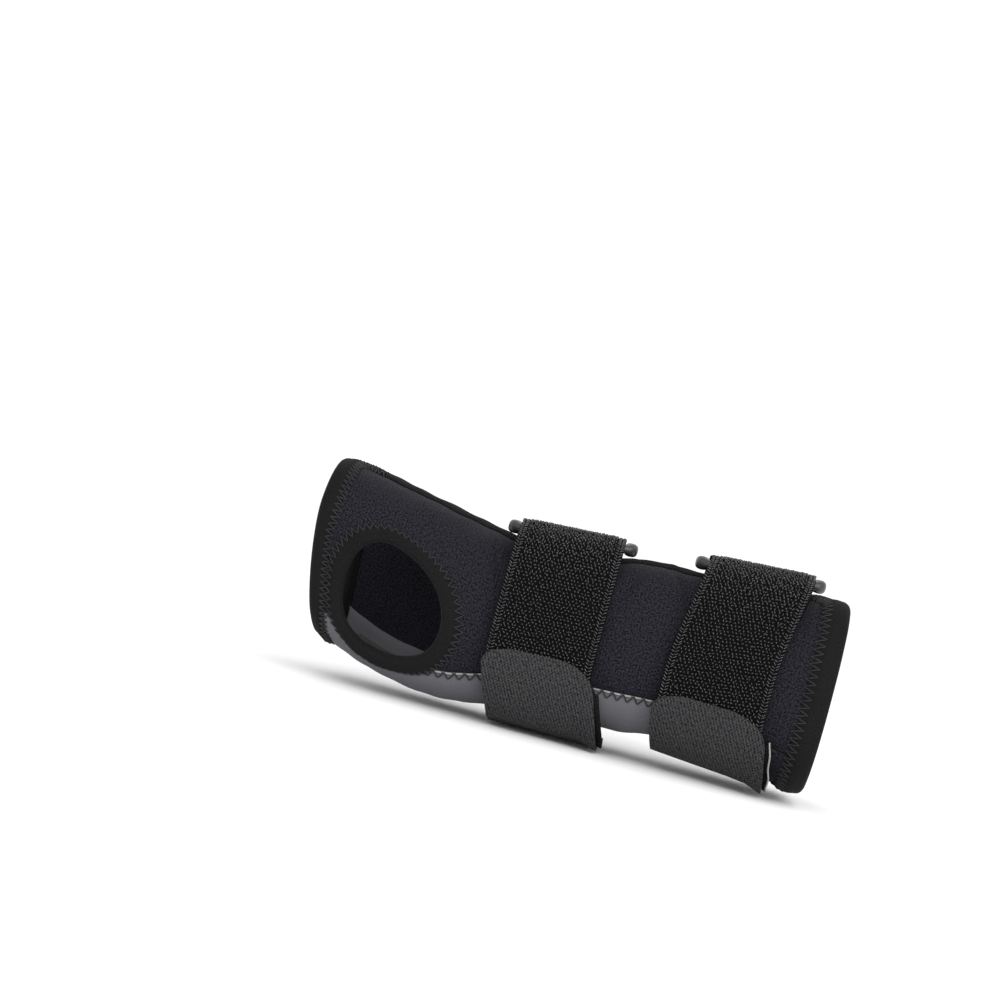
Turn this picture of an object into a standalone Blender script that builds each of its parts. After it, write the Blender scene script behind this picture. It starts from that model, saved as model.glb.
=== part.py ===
"""Wrist splint: a neoprene wrap with a thumb hole, a palmar stay and two ring-and-hook straps.

The wrap is drawn flat first. x runs along the arm from the fingers to the elbow, and g is the girth
round the arm, from the middle of the back over the thumb side, the palm and the little-finger side.
Each piece is cut out in that flat pattern, with q as its height, and is then wrapped round the arm.
"""

from collections import namedtuple
from math import cos, exp, pi, sin

import bmesh
import bpy
import numpy as np
from mathutils import Vector

# Arm form, station by station from the fingers to the elbow
Station = namedtuple("Station", "x half_width top palm")
STATIONS = (
    Station(-0.104, 0.0400, 0.0785, 0.0235),
    Station(-0.093, 0.0415, 0.0772, 0.0180),
    Station(-0.066, 0.0410, 0.0722, 0.0070),
    Station(-0.042, 0.0380, 0.0675, 0.0034),
    Station(-0.022, 0.0350, 0.0641, 0.0050),
    Station(0.004, 0.0335, 0.0663, 0.0070),
    Station(0.032, 0.0345, 0.0692, 0.0096),
    Station(0.060, 0.0360, 0.0702, 0.0096),
    Station(0.080, 0.0375, 0.0719, 0.0056),
    Station(0.100, 0.0395, 0.0737, 0.0042),
)
FLAT_HALF = 0.012
SQUARENESS = 2.3
WEB_TUCK = 0.011
WEB_TUCK_LENGTH = 0.042
WEB_TUCK_HALF = 0.020

# Neoprene wrap
NEOPRENE = 0.0030
FIT = 0.00035
FRONT_X = -0.0920
REAR_X = 0.0915
PALM_SETBACK = 0.0060
WEB_REACH = 0.0045
WEB_SHARE = 0.25
WEB_SPREAD = 0.12
DORSAL_GAP = 0.0170
FLAP_CORNER = 0.0110
CORNER_STUB = 0.0020
PALM_PANEL_HALF = 0.0360
PALM_PANEL_NARROWING = 0.0042
PALM_PANEL_END = 0.0580

# Thumb hole, placed from the thumb-side line
THUMB_X = -0.0665
THUMB_DROP = 0.0075
THUMB_HALF_REAR = 0.0250
THUMB_HALF_FRONT = 0.0175
THUMB_HALF_GIRTH = 0.0230

# Binding tape
BINDING = 0.0008
BINDING_WIDTH = 0.0058
REAR_BINDING_WIDTH = 0.0076

# Palmar stay and its pocket
STAY_WIDTH = 0.0280
STAY_THICKNESS = 0.0016
STAY_REAR_X = 0.0640
STAY_CORNER = 0.0100
LINING = 0.0008
LINING_FLANGE = 0.0028
LINING_RAMP = 0.0020
STAY_PLAY = 0.0005

# Straps, rings and hook tabs
STRAP_WIDTH = 0.0380
DISTAL_STRAP_X = -0.0078
PROXIMAL_STRAP_X = 0.0610
BAND = 0.0012
LEAF = 0.0009
LAP_FIT = 0.0007
TAB_OVERHANG = 0.0012
DISTAL_TAB_DROP = 0.0065
PROXIMAL_TAB_DROP = 0.0105
DISTAL_TAB_SLIDE = 0.0075
PROXIMAL_TAB_SLIDE = -0.0030
TAB_SLIDE_LENGTH = 0.0300
BAND_SLIDE_FROM = 0.0120
BAND_SLIDE_LENGTH = 0.0480
TAB_CORNER_FRONT = 0.0060
TAB_FRONT_SPAN = 0.0130
TAB_CORNER_REAR = 0.0150
TAB_REAR_SPAN = 0.0250
TAB_STEM = 0.0090
TAB_INNER_SHORT = 0.0100
RETURN_INTO_TAB = 0.0240
LAP_STEP = 0.0060
ANCHOR_RISE = 0.0060
RETURN_SETTLE = 0.0300
RING_BAR = 0.0032
RING_SLOT = 0.0095
RING_PLAY = 0.0008
RING_CORNER = 0.0026
RING_NEAR_G = 0.0065
FOLD_TAIL = 0.0040
TETHER_TAIL = 0.0260
TETHER_RETURN = 0.0170

# Mesh fineness
ARC_POINTS = 61
GIRTH_STEP = 0.0045
LENGTH_STEP = 0.0078

MATERIALS = {
    "neoprene_black": ((0.022, 0.021, 0.026), 0.0, 0.85),
    "neoprene_grey": ((0.105, 0.103, 0.115), 0.0, 0.75),
    "binding_black": ((0.016, 0.016, 0.017), 0.0, 0.80),
    "pocket_lining": ((0.030, 0.030, 0.032), 0.0, 0.90),
    "band_black": ((0.013, 0.013, 0.014), 0.0, 0.95),
    "hook_grey": ((0.042, 0.042, 0.045), 0.0, 0.70),
    "ring_plastic": ((0.035, 0.035, 0.037), 0.0, 0.35),
    "stay_aluminium": ((0.62, 0.62, 0.63), 1.0, 0.40),
}


def smooth_through(x, places, values):
    """Value at x on a curve that runs smoothly through the given values."""
    slopes = np.gradient(values, places)
    i = int(np.clip(np.searchsorted(places, x) - 1, 0, len(places) - 2))
    span = places[i + 1] - places[i]
    t = (x - places[i]) / span
    if t < 0:
        return values[i] + slopes[i] * (x - places[i])
    if t > 1:
        return values[i + 1] + slopes[i + 1] * (x - places[i + 1])
    return (
        values[i] * (1 + 2 * t) * (1 - t) ** 2
        + slopes[i] * span * t * (1 - t) ** 2
        + values[i + 1] * t * t * (3 - 2 * t)
        + slopes[i + 1] * span * t * t * (t - 1)
    )


def ease(t):
    """Smooth step from 0 to 1."""
    t = min(max(t, 0.0), 1.0)
    return t * t * (3 - 2 * t)


class Form:
    """Surface that pieces are wrapped on: place(x) gives half width, top height and palm height."""

    def __init__(self, place, tuck=0.0):
        self.place = place
        self.tuck = tuck
        self.sections = {}

    def section(self, x):
        key = round(x, 6)
        if key not in self.sections:
            self.sections[key] = self.outline(x)
        return self.sections[key]

    def outline(self, x):
        half_width, top, palm = self.place(x)
        middle, rise = (top + palm) / 2, (top - palm) / 2
        turn = np.linspace(pi / 2, -pi / 2, ARC_POINTS)
        across = FLAT_HALF + (half_width - FLAT_HALF) * np.abs(np.cos(turn)) ** (2 / SQUARENESS)
        up = middle + rise * np.sign(np.sin(turn)) * np.abs(np.sin(turn)) ** (2 / SQUARENESS)
        thumb_side = np.column_stack((-across, up))
        other_side = np.column_stack((across, up))[::-1]
        back = np.array([[0.0, top]])
        points = np.vstack((back, thumb_side, other_side, back))
        girth = np.append(0.0, np.cumsum(np.linalg.norm(np.diff(points, axis=0), axis=1)))
        if self.tuck:
            reach = ease((FRONT_X + WEB_TUCK_LENGTH - x) / WEB_TUCK_LENGTH)
            from_web = (girth - girth[-1] / 4 - THUMB_DROP) / WEB_TUCK_HALF
            points[:, 0] += self.tuck * reach * np.exp(-from_web**2)
        along = np.gradient(points, girth, axis=0)
        outward = np.column_stack((along[:, 1], -along[:, 0]))
        outward /= np.linalg.norm(outward, axis=1)[:, None]
        return girth, points, outward

    def girth(self, x):
        return self.section(x)[0][-1]

    def at(self, x, g, q):
        girth, points, outward = self.section(x)
        g = g % girth[-1]
        spot = [np.interp(g, girth, points[:, k]) for k in (0, 1)]
        normal = np.array([np.interp(g, girth, outward[:, k]) for k in (0, 1)])
        normal /= np.linalg.norm(normal)
        return (x, spot[0] + q * normal[0], spot[1] + q * normal[1])


def sleeve_place(x):
    places = [s.x for s in STATIONS]
    return (
        smooth_through(x, places, [s.half_width for s in STATIONS]),
        smooth_through(x, places, [s.top for s in STATIONS]),
        smooth_through(x, places, [s.palm for s in STATIONS]),
    )


SLEEVE = Form(sleeve_place, WEB_TUCK)
BINDING_RISE = FIT + BINDING
RING_HALF = RING_BAR / 2
RING_SQUARE = 3.5
BAR_REACH = RING_HALF * 2 ** (0.5 - 1 / RING_SQUARE)
WRAP_RADIUS = BAR_REACH + FIT
RING_Q = BAND + WRAP_RADIUS
RING_FAR_G = RING_NEAR_G - RING_SLOT - RING_BAR
TAB_WIDTH = STRAP_WIDTH + 2 * TAB_OVERHANG


def strap_form(centre):
    """Straight-ruled form under a strap, clear of the wrap across the whole tab width."""
    front, rear = centre - TAB_WIDTH / 2, centre + TAB_WIDTH / 2
    across = np.linspace(front, rear, 9)
    sizes = np.array([sleeve_place(x) for x in across])
    ruled = sizes[0] + np.outer((across - front) / (rear - front), sizes[-1] - sizes[0])
    wide = (sizes - ruled)[:, 0].max() + FIT
    high = (sizes - ruled)[:, 1].max() + FIT + BINDING_RISE
    low = (ruled - sizes)[:, 2].max() + FIT

    def place(x):
        t = (x - front) / (rear - front)
        half_width, top, palm = sizes[0] + t * (sizes[-1] - sizes[0])
        return half_width + wide, top + high, palm - low

    return Form(place)


def flat_strap_form(centre):
    """Strap form whose underside is level, so that the splint rests on its tab."""
    ruled = strap_form(centre)
    lowest = min(ruled.place(centre + side * TAB_WIDTH / 2)[2] for side in (-1, 1))

    def place(x):
        half_width, top, _ = ruled.place(x)
        return half_width, top, lowest

    return Form(place)


def thumb_line(x):
    return SLEEVE.girth(x) / 4


def palm_line(x):
    return SLEEVE.girth(x) / 2


def front_edge(share):
    """Place of the front edge for a share of the girth."""
    web = exp(-(((share - WEB_SHARE) / WEB_SPREAD) ** 2))
    return FRONT_X + PALM_SETBACK * sin(pi * share) ** 2 - WEB_REACH * web


def corner_drop(distance, radius):
    """How far a rounded corner cuts back at a distance from the side."""
    if distance >= radius:
        return 0.0
    return radius - (radius**2 - (radius - distance) ** 2) ** 0.5


def palm_half(x):
    """Half girth of the palmar panel, narrower at the heel of the hand."""
    heel = exp(-(((x + 0.050) / 0.030) ** 2))
    return PALM_PANEL_HALF - PALM_PANEL_NARROWING * heel


def same_share(x, g, other):
    """Girth at another place that is the same share of the way round."""
    return g * SLEEVE.girth(other) / SLEEVE.girth(x)


def flap_edge(x, side):
    """Girth of the edge of the wrap beside the opening, thumb side first."""
    return DORSAL_GAP / 2 if side < 0 else SLEEVE.girth(x) - DORSAL_GAP / 2


def wrap_span(share, distance):
    """Front and rear ends of the wrap for a share of the girth at a distance from the flap edge."""
    cut = corner_drop(distance, FLAP_CORNER)
    return front_edge(share) + cut, REAR_X - cut


def thumb_point(turn, grow=0.0):
    """Point on the rim of the thumb hole in the flat pattern, moved out by grow."""
    length = THUMB_HALF_REAR if cos(turn) > 0 else THUMB_HALF_FRONT
    x, g = length * cos(turn), THUMB_HALF_GIRTH * sin(turn)
    out = np.array((cos(turn) / length, sin(turn) / THUMB_HALF_GIRTH))
    out /= np.linalg.norm(out)
    x = THUMB_X + x + grow * out[0]
    return x, thumb_line(x) + THUMB_DROP + g + grow * out[1]


def new_material(name):
    colour, metallic, roughness = MATERIALS[name]
    material = bpy.data.materials.new(name)
    material.use_nodes = True
    shader = material.node_tree.nodes["Principled BSDF"]
    shader.inputs["Base Color"].default_value = (*colour, 1.0)
    shader.inputs["Metallic"].default_value = metallic
    shader.inputs["Roughness"].default_value = roughness
    material.diffuse_color = (*colour, 1.0)
    return material


def new_object(name, bm, material):
    bmesh.ops.recalc_face_normals(bm, faces=bm.faces)
    mesh = bpy.data.meshes.new(name)
    bm.to_mesh(mesh)
    bm.free()
    piece = bpy.data.objects.new(name, mesh)
    bpy.context.scene.collection.objects.link(piece)
    mesh.materials.append(bpy.data.materials[material])
    return piece


def wrap_mesh(mesh, form):
    for vertex in mesh.vertices:
        vertex.co = form.at(*vertex.co)
    mesh.flip_normals()


def flat_slab(columns, rows, pattern, low, high):
    """Closed slab in the flat pattern: pattern(u, v) gives x and g, low and high give q."""
    bm = bmesh.new()
    bmesh.ops.create_grid(bm, x_segments=columns, y_segments=rows, size=1.0)
    for vertex in bm.verts:
        x, g = pattern((vertex.co.x + 1) / 2, (vertex.co.y + 1) / 2)
        vertex.co = (x, g, low(x, g))
    lower = bm.faces[:]
    made = bmesh.ops.extrude_face_region(bm, geom=lower, use_keep_orig=True)
    for item in made["geom"]:
        if isinstance(item, bmesh.types.BMVert):
            item.co.z = high(item.co.x, item.co.y)
    return bm


def slab(name, material, form, columns, rows, pattern, low, high, cutter=None):
    """Slab cut flat, with an opening if there is a cutter, and then wrapped."""
    piece = new_object(name, flat_slab(columns, rows, pattern, low, high), material)
    if cutter:
        cut = piece.modifiers.new("opening", "BOOLEAN")
        cut.operation = "DIFFERENCE"
        cut.solver = "EXACT"
        cut.object = cutter
        bpy.context.view_layer.update()
        cut_mesh = bpy.data.meshes.new_from_object(
            piece.evaluated_get(bpy.context.evaluated_depsgraph_get())
        )
        piece.modifiers.clear()
        piece.data = cut_mesh
        cut_mesh.name = name
    wrap_mesh(piece.data, form)
    return piece


def sweep(name, material, rings, closed=False):
    """Solid through rings of points, joined end to end if closed."""
    bm = bmesh.new()
    loops = [[bm.verts.new(point) for point in ring] for ring in rings]
    count = len(loops[0])
    pairs = list(zip(loops, loops[1:]))
    if closed:
        pairs.append((loops[-1], loops[0]))
    for one, other in pairs:
        for k in range(count):
            n = (k + 1) % count
            bm.faces.new((one[k], one[n], other[n], other[k]))
    if not closed:
        bm.faces.new(loops[0])
        bm.faces.new(loops[-1])
    return new_object(name, bm, material)


def binding_profile(width):
    """Tape folded round an edge: p is the distance in from the edge, q the height."""
    middle = -NEOPRENE / 2
    inside = NEOPRENE / 2 + FIT
    outside = inside + BINDING
    turns = np.linspace(pi / 2, 3 * pi / 2, 4)
    outer = [(outside * cos(t), middle + outside * sin(t)) for t in turns]
    inner = [(inside * cos(t), middle + inside * sin(t)) for t in turns[::-1]]
    legs = (width, width / 2)
    profile = [(p, middle + outside) for p in legs] + outer
    profile += [(p, middle - outside) for p in legs[::-1]]
    profile += [(p, middle - inside) for p in legs] + inner
    return profile + [(p, middle + inside) for p in legs[::-1]]


def tape(name, path, width, closed=False):
    """Binding along a path of flat points, each with its inward direction and its own width."""
    rings = []
    for x, g, inward, share in path:
        ring = []
        for p, q in binding_profile(width * share):
            beside = x + p * inward[0]
            ring.append(SLEEVE.at(beside, same_share(x, g, beside) + p * inward[1], q))
        rings.append(ring)
    return sweep(name, "binding_black", rings, closed)


def inward_path(points, shares, closed=False):
    """Adds to each flat point the direction to the left of the path."""
    path = []
    count = len(points)
    for i, (x, g) in enumerate(points):
        before = points[i - 1] if closed else points[max(i - 1, 0)]
        after = points[(i + 1) % count] if closed else points[min(i + 1, count - 1)]
        along = np.array((after[0] - before[0], same_share(*after, x) - same_share(*before, x)))
        along /= np.linalg.norm(along)
        path.append((x, g, (-along[1], along[0]), shares[i]))
    return path


def web_strip_share(x, g, width):
    """Share of a tape's width that fits on the strip between thumb hole and front edge."""
    girth = SLEEVE.girth(x)
    near = abs(g / girth - 0.29) < 0.13
    strip = min(thumb_point(pi)[0] - front_edge(0.29), 4 * width)
    full = (strip - 3 * FIT) / 2 / width
    return min(1.0, full + (0.0 if near else 1.0))


def end_path(front):
    """Path of the tape at one end of the wrap, with both rounded corners, palm on its left."""
    sign = 1 if front else -1
    points = []
    start = front_edge(0.0) if front else REAR_X
    for side in (-1, 1):
        stub = start + sign * (FLAP_CORNER + CORNER_STUB)
        corner = [(stub, flap_edge(stub, side))]
        for t in np.linspace(0, pi / 2, 6):
            x = start + sign * FLAP_CORNER * (1 - sin(t))
            corner.append((x, flap_edge(x, side) - side * FLAP_CORNER * (1 - cos(t))))
        if side > 0:
            corner.reverse()
        if side < 0:
            points += corner
            continue
        girth = SLEEVE.girth(start)
        first, last = points[-1][1], corner[0][1]
        for g in np.linspace(first, last, int((last - first) / GIRTH_STEP) + 2)[1:-1]:
            x = front_edge(g / girth) if front else REAR_X
            points.append((x, g))
        points += corner
    return points if not front else points[::-1]


def flap_path(side):
    """Path of the tape along a straight flap edge, wrap on its left."""
    start = front_edge(0.0) + FLAP_CORNER + CORNER_STUB + FIT
    end = REAR_X - FLAP_CORNER - CORNER_STUB - FIT
    xs = np.linspace(start, end, int((end - start) / LENGTH_STEP) + 1)
    points = [(x, flap_edge(x, side)) for x in xs]
    return points if side < 0 else points[::-1]


def wrap_panel(name, material, low_edge, high_edge, rows, cutter=None, ends=None, fine=None):
    """Panel of the wrap between two edges that run along the arm."""

    def pattern(u, v):
        if fine == "first":
            v = v * (0.7 + 0.3 * v)
        elif fine == "last":
            v = 1 - (1 - v) * (1.0 - 0.3 * v)
        x = 0.0
        for _ in range(3):
            g = low_edge(x) + (high_edge(x) - low_edge(x)) * v
            girth = SLEEVE.girth(x)
            nearest = min(g - flap_edge(x, -1), flap_edge(x, 1) - g)
            front, rear = wrap_span(g / girth, max(nearest, 0.0))
            if ends:
                front, rear = max(front, ends[0]), min(rear, ends[1])
            x = front + (rear - front) * u
        return x, low_edge(x) + (high_edge(x) - low_edge(x)) * v

    columns = int((REAR_X - FRONT_X) / LENGTH_STEP) if not ends else 24
    if ends and ends[0] > 0:
        columns = 6
    return slab(
        name, material, SLEEVE, columns, rows, pattern, lambda x, g: -NEOPRENE, lambda x, g: 0.0, cutter
    )


def thumb_cutter():
    """Prism of the thumb hole in the flat pattern."""
    bm = bmesh.new()
    rim = [bm.verts.new((*thumb_point(t), -0.02)) for t in np.linspace(0, 2 * pi, 41)[:-1]]
    face = bm.faces.new(rim)
    made = bmesh.ops.extrude_face_region(bm, geom=[face], use_keep_orig=True)
    for item in made["geom"]:
        if isinstance(item, bmesh.types.BMVert):
            item.co.z = 0.02
    cutter = new_object("thumb_cutter", bm, "binding_black")
    cutter.hide_render = True
    cutter.display_type = "WIRE"
    return cutter


def build_wrap():
    cutter = thumb_cutter()
    seam = FIT / 2
    pieces = [
        wrap_panel(
            "radial_panel",
            "neoprene_black",
            lambda x: flap_edge(x, -1),
            lambda x: palm_line(x) - palm_half(x) - seam,
            20,
            cutter,
            fine="first",
        ),
        wrap_panel(
            "ulnar_panel",
            "neoprene_black",
            lambda x: palm_line(x) + palm_half(x) + seam,
            lambda x: flap_edge(x, 1),
            20,
            fine="last",
        ),
        wrap_panel(
            "palmar_panel",
            "neoprene_grey",
            lambda x: palm_line(x) - palm_half(x) + seam,
            lambda x: palm_line(x) + palm_half(x) - seam,
            12,
            cutter,
            ends=(-1.0, PALM_PANEL_END),
        ),
        wrap_panel(
            "rear_palm_panel",
            "neoprene_black",
            lambda x: palm_line(x) - palm_half(x) + seam,
            lambda x: palm_line(x) + palm_half(x) - seam,
            12,
            ends=(PALM_PANEL_END + FIT, 1.0),
        ),
    ]
    bpy.data.objects.remove(cutter)
    return pieces


def build_bindings():
    front = end_path(True)
    rear = end_path(False)
    front_shares = [web_strip_share(x, g, BINDING_WIDTH) for x, g in front]
    rim = [thumb_point(t) for t in np.linspace(0, 2 * pi, 41)[:-1]]
    rim = rim[::-1]
    rim_shares = []
    for x, g in rim:
        free = (x - front_edge(g / SLEEVE.girth(x)) - 3 * FIT) / 2
        rim_shares.append(min(1.0, free / BINDING_WIDTH))
    return [
        tape("front_binding", inward_path(front, front_shares), BINDING_WIDTH),
        tape("rear_binding", inward_path(rear, [1.0] * len(rear)), REAR_BINDING_WIDTH),
        tape("radial_edge_binding", inward_path(flap_path(-1), [1.0] * 99), BINDING_WIDTH),
        tape("ulnar_edge_binding", inward_path(flap_path(1), [1.0] * 99), BINDING_WIDTH),
        tape("thumb_binding", inward_path(rim, rim_shares, True), BINDING_WIDTH, closed=True),
    ]


def build_stay():
    """Bent metal stay under the palm, with rounded ends, and the thin pocket that holds it."""
    top = -NEOPRENE - STAY_PLAY
    half = STAY_WIDTH / 2
    lining_front = front_edge(0.5) + BINDING_WIDTH + 2 * FIT
    stay_front = lining_front + LINING_FLANGE + LINING_RAMP + STAY_PLAY

    def stay_pattern(u, v):
        across = -half + STAY_WIDTH * v
        cut = corner_drop(half - abs(across), STAY_CORNER)
        x = stay_front + cut + (STAY_REAR_X - stay_front - 2 * cut) * u
        return x, palm_line(x) + across

    stay = slab(
        "palmar_stay",
        "stay_aluminium",
        SLEEVE,
        20,
        6,
        stay_pattern,
        lambda x, g: top - STAY_THICKNESS,
        lambda x, g: top,
    )
    channel = half + STAY_PLAY + LINING_RAMP
    lining_half = channel + LINING_FLANGE
    depth = STAY_THICKNESS + STAY_PLAY

    def lining_low(x, g):
        inside = (channel - abs(g - palm_line(x))) / LINING_RAMP
        ahead = (x - lining_front - LINING_FLANGE) / LINING_RAMP
        return top - LINING - depth * min(max(min(inside, ahead), 0.0), 1.0)

    def lining_pattern(u, v):
        marks = (-lining_half, -channel - 1e-4, -channel + LINING_RAMP, -half / 2, 0.0)
        marks = (*marks, half / 2, channel - LINING_RAMP, channel + 1e-4, lining_half)
        across = float(np.interp(v, np.linspace(0, 1, len(marks)), marks))
        steps = [lining_front, lining_front + LINING_FLANGE, lining_front + LINING_FLANGE + LINING_RAMP]
        steps += list(np.linspace(steps[-1], STAY_REAR_X + STAY_PLAY, 20))[1:]
        x = float(np.interp(u, np.linspace(0, 1, len(steps)), steps))
        return x, palm_line(x) + across

    lining = slab(
        "stay_pocket",
        "pocket_lining",
        SLEEVE,
        21,
        8,
        lining_pattern,
        lining_low,
        lambda x, g: lining_low(x, g) + LINING,
    )
    return [stay, lining]


def hairpin(form, x, direction, bar_g, lower_tail, upper_tail, settle):
    """Band folded round a ring bar, as one outline: lower run, fold and upper run."""
    lower = np.linspace(lower_tail, 0, max(2, int(lower_tail / 0.004) + 1))
    upper = np.linspace(0, upper_tail, max(2, int(upper_tail / 0.004) + 1))
    turns = np.linspace(-pi / 2, pi / 2, 9)[1:-1]
    lift = 2 * WRAP_RADIUS - FIT

    def run(away, q):
        return form.at(x, bar_g + direction * away, q)

    def upper_q(away):
        return BAND + FIT + lift * (1 - ease(away / settle)) if settle else BAND + FIT + lift

    outline = [run(a, 0.0) for a in lower]
    for t in turns:
        reach = WRAP_RADIUS + BAND
        outline.append(run(-reach * cos(t), RING_Q + reach * sin(t)))
    outline += [run(a, upper_q(a) + BAND) for a in upper]
    outline += [run(a, upper_q(a)) for a in upper[::-1]]
    for t in turns[::-1]:
        outline.append(run(-WRAP_RADIUS * cos(t), RING_Q + WRAP_RADIUS * sin(t)))
    outline += [run(a, BAND) for a in lower[::-1]]
    return outline


def build_ring(name, form, centre):
    """Moulded rectangular ring that lies on the back of the wrist."""
    half_length = STRAP_WIDTH / 2 + RING_PLAY + RING_HALF
    middle_g = (RING_NEAR_G + RING_FAR_G) / 2
    half_width = (RING_SLOT + RING_BAR) / 2
    path = []
    for sx, sg, first in ((1, 1, 0), (-1, 1, 1), (-1, -1, 2), (1, -1, 3)):
        for t in np.linspace(0, pi / 2, 5) + first * pi / 2:
            x = sx * (half_length - RING_CORNER) + RING_CORNER * cos(t)
            g = sg * (half_width - RING_CORNER) + RING_CORNER * sin(t)
            path.append((x, g, cos(t), sin(t)))
    rings = []
    for x, g, out_x, out_g in path:
        ring = []
        for t in np.linspace(0, 2 * pi, 13)[:-1]:
            out = RING_HALF * np.sign(cos(t)) * abs(cos(t)) ** (2 / RING_SQUARE)
            up = RING_HALF * np.sign(sin(t)) * abs(sin(t)) ** (2 / RING_SQUARE)
            ring.append(form.at(centre + x + out * out_x, middle_g + g + out * out_g, RING_Q + up))
        rings.append(ring)
    return sweep(name, "ring_plastic", rings, closed=True)


def build_strap(prefix, form, centre, tab_drop, tab_slide, run_slides):
    front, rear = centre - STRAP_WIDTH / 2, centre + STRAP_WIDTH / 2
    fold_end = RING_NEAR_G + FOLD_TAIL
    ring_lift = 2 * WRAP_RADIUS
    side_lift = 2 * LAP_FIT + LEAF

    def slide(g):
        if run_slides:
            out = ease((g - form.girth(centre) / 4 - tab_drop) / TAB_SLIDE_LENGTH)
        else:
            out = ease((g - BAND_SLIDE_FROM) / BAND_SLIDE_LENGTH)
        back = ease((g - form.girth(centre) / 2 - TAB_STEM) / TAB_SLIDE_LENGTH)
        return tab_slide * (out - back)

    def around(first, last, sliding=False):
        def pattern(u, v):
            x = front + (rear - front) * v
            g = first(x) + (last(x) - first(x)) * u
            return (x + slide(g), g) if sliding else (x, g)

        return pattern

    def tab_top(x):
        to_front = x - centre + TAB_WIDTH / 2
        to_rear = centre + TAB_WIDTH / 2 - x
        drop = corner_drop(to_front * TAB_CORNER_FRONT / TAB_FRONT_SPAN, TAB_CORNER_FRONT)
        drop += corner_drop(to_rear * TAB_CORNER_REAR / TAB_REAR_SPAN, TAB_CORNER_REAR)
        return form.girth(x) / 4 + tab_drop + drop

    def stem_end(x):
        return form.girth(x) / 2 + TAB_STEM

    def return_low(x, g):
        return BAND + side_lift + (ring_lift - side_lift) * (1 - ease((g - fold_end) / RETURN_SETTLE))

    def lap_q(x, g):
        lap_end = form.girth(x) / 4 + tab_drop + RETURN_INTO_TAB + FIT
        return BAND + side_lift + (BAND + LAP_FIT) * (1 - ease((g - lap_end) / LAP_STEP))

    def tab_across(v):
        side = 2 * v - 1
        return centre + np.sign(side) * abs(side) ** 0.75 * TAB_WIDTH / 2

    def leaf(shorter):
        def pattern(u, v):
            x = float(tab_across(v))
            top = tab_top(x) + shorter
            level = form.girth(x) / 4 + tab_drop + TAB_CORNER_REAR + shorter
            if u < 0.4:
                g = top + (level - top) * u / 0.4
            else:
                g = level + (stem_end(x) - level) * (u - 0.4) / 0.6
            return x + slide(g), g

        return pattern

    run = slab(
        f"{prefix}_strap",
        "band_black",
        form,
        48,
        2,
        around(lambda x: RING_NEAR_G + FIT, lambda x: form.girth(x) * 0.75 + ANCHOR_RISE, run_slides),
        lambda x, g: 0.0,
        lambda x, g: BAND,
    )
    back = slab(
        f"{prefix}_strap_return",
        "band_black",
        form,
        20,
        2,
        around(lambda x: fold_end + FIT, lambda x: form.girth(x) / 4 + tab_drop + RETURN_INTO_TAB, True),
        return_low,
        lambda x, g: return_low(x, g) + BAND,
    )
    outer = slab(
        f"{prefix}_tab_outer",
        "hook_grey",
        form,
        18,
        8,
        leaf(0.0),
        lap_q,
        lambda x, g: lap_q(x, g) + LEAF,
    )
    inner = slab(
        f"{prefix}_tab_inner",
        "hook_grey",
        form,
        15,
        8,
        leaf(TAB_INNER_SHORT),
        lambda x, g: BAND + LAP_FIT,
        lambda x, g: BAND + LAP_FIT + LEAF,
    )
    xs = (front, centre, rear)
    fold = sweep(
        f"{prefix}_strap_fold",
        "band_black",
        [hairpin(form, x, 1, RING_NEAR_G, 0.0, FOLD_TAIL, 0.0) for x in xs],
    )
    tether = sweep(
        f"{prefix}_ring_tether",
        "band_black",
        [hairpin(form, x, -1, RING_FAR_G, TETHER_TAIL, TETHER_RETURN, TETHER_RETURN * 0.8) for x in xs],
    )
    ring = build_ring(f"{prefix}_ring", form, centre)
    turn_on(ring, fold, form.at(front, RING_FAR_G, RING_Q))
    hinge_q = BAND + ring_lift + BAND
    turn_on(back, None, form.at(front, fold_end + FIT / 2, hinge_q))
    for leaf_piece in (outer, inner):
        set_origin(leaf_piece, back.location)
    return [run, back, outer, inner, fold, tether, ring]


def set_origin(piece, place):
    """Moves the origin of a piece to a place and leaves its shape where it is."""
    for vertex in piece.data.vertices:
        vertex.co -= place
    piece.location = place


def turn_on(piece, other, place):
    """Puts the origin of a moving piece, and of what moves with it, on its joint axis."""
    spot = Vector(place)
    set_origin(piece, spot)
    if other:
        set_origin(other, spot.copy())


def seat_on_floor(pieces):
    """Hangs all pieces on one frame whose origin is below the middle of the splint."""
    bpy.context.view_layer.update()
    corners = np.array([p.matrix_world @ v.co for p in pieces for v in p.data.vertices])
    low, high = corners.min(axis=0), corners.max(axis=0)
    shift = ((low + high) / 2)[:2]
    for piece in pieces:
        piece.location.x -= shift[0]
        piece.location.y -= shift[1]
        piece.location.z -= low[2]


def main():
    for item in list(bpy.data.objects):
        bpy.data.objects.remove(item)
    for name in MATERIALS:
        new_material(name)
    pieces = build_wrap() + build_bindings() + build_stay()
    flat_form, ruled_form = flat_strap_form(DISTAL_STRAP_X), strap_form(PROXIMAL_STRAP_X)
    pieces += build_strap("distal", flat_form, DISTAL_STRAP_X, DISTAL_TAB_DROP, DISTAL_TAB_SLIDE, True)
    pieces += build_strap("proximal", ruled_form, PROXIMAL_STRAP_X, PROXIMAL_TAB_DROP, PROXIMAL_TAB_SLIDE, False)
    seat_on_floor(pieces)
    for piece in pieces:
        for face in piece.data.polygons:
            face.use_smooth = False


main()
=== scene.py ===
import math

import bpy
import numpy as np
from mathutils import Matrix, Vector


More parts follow.
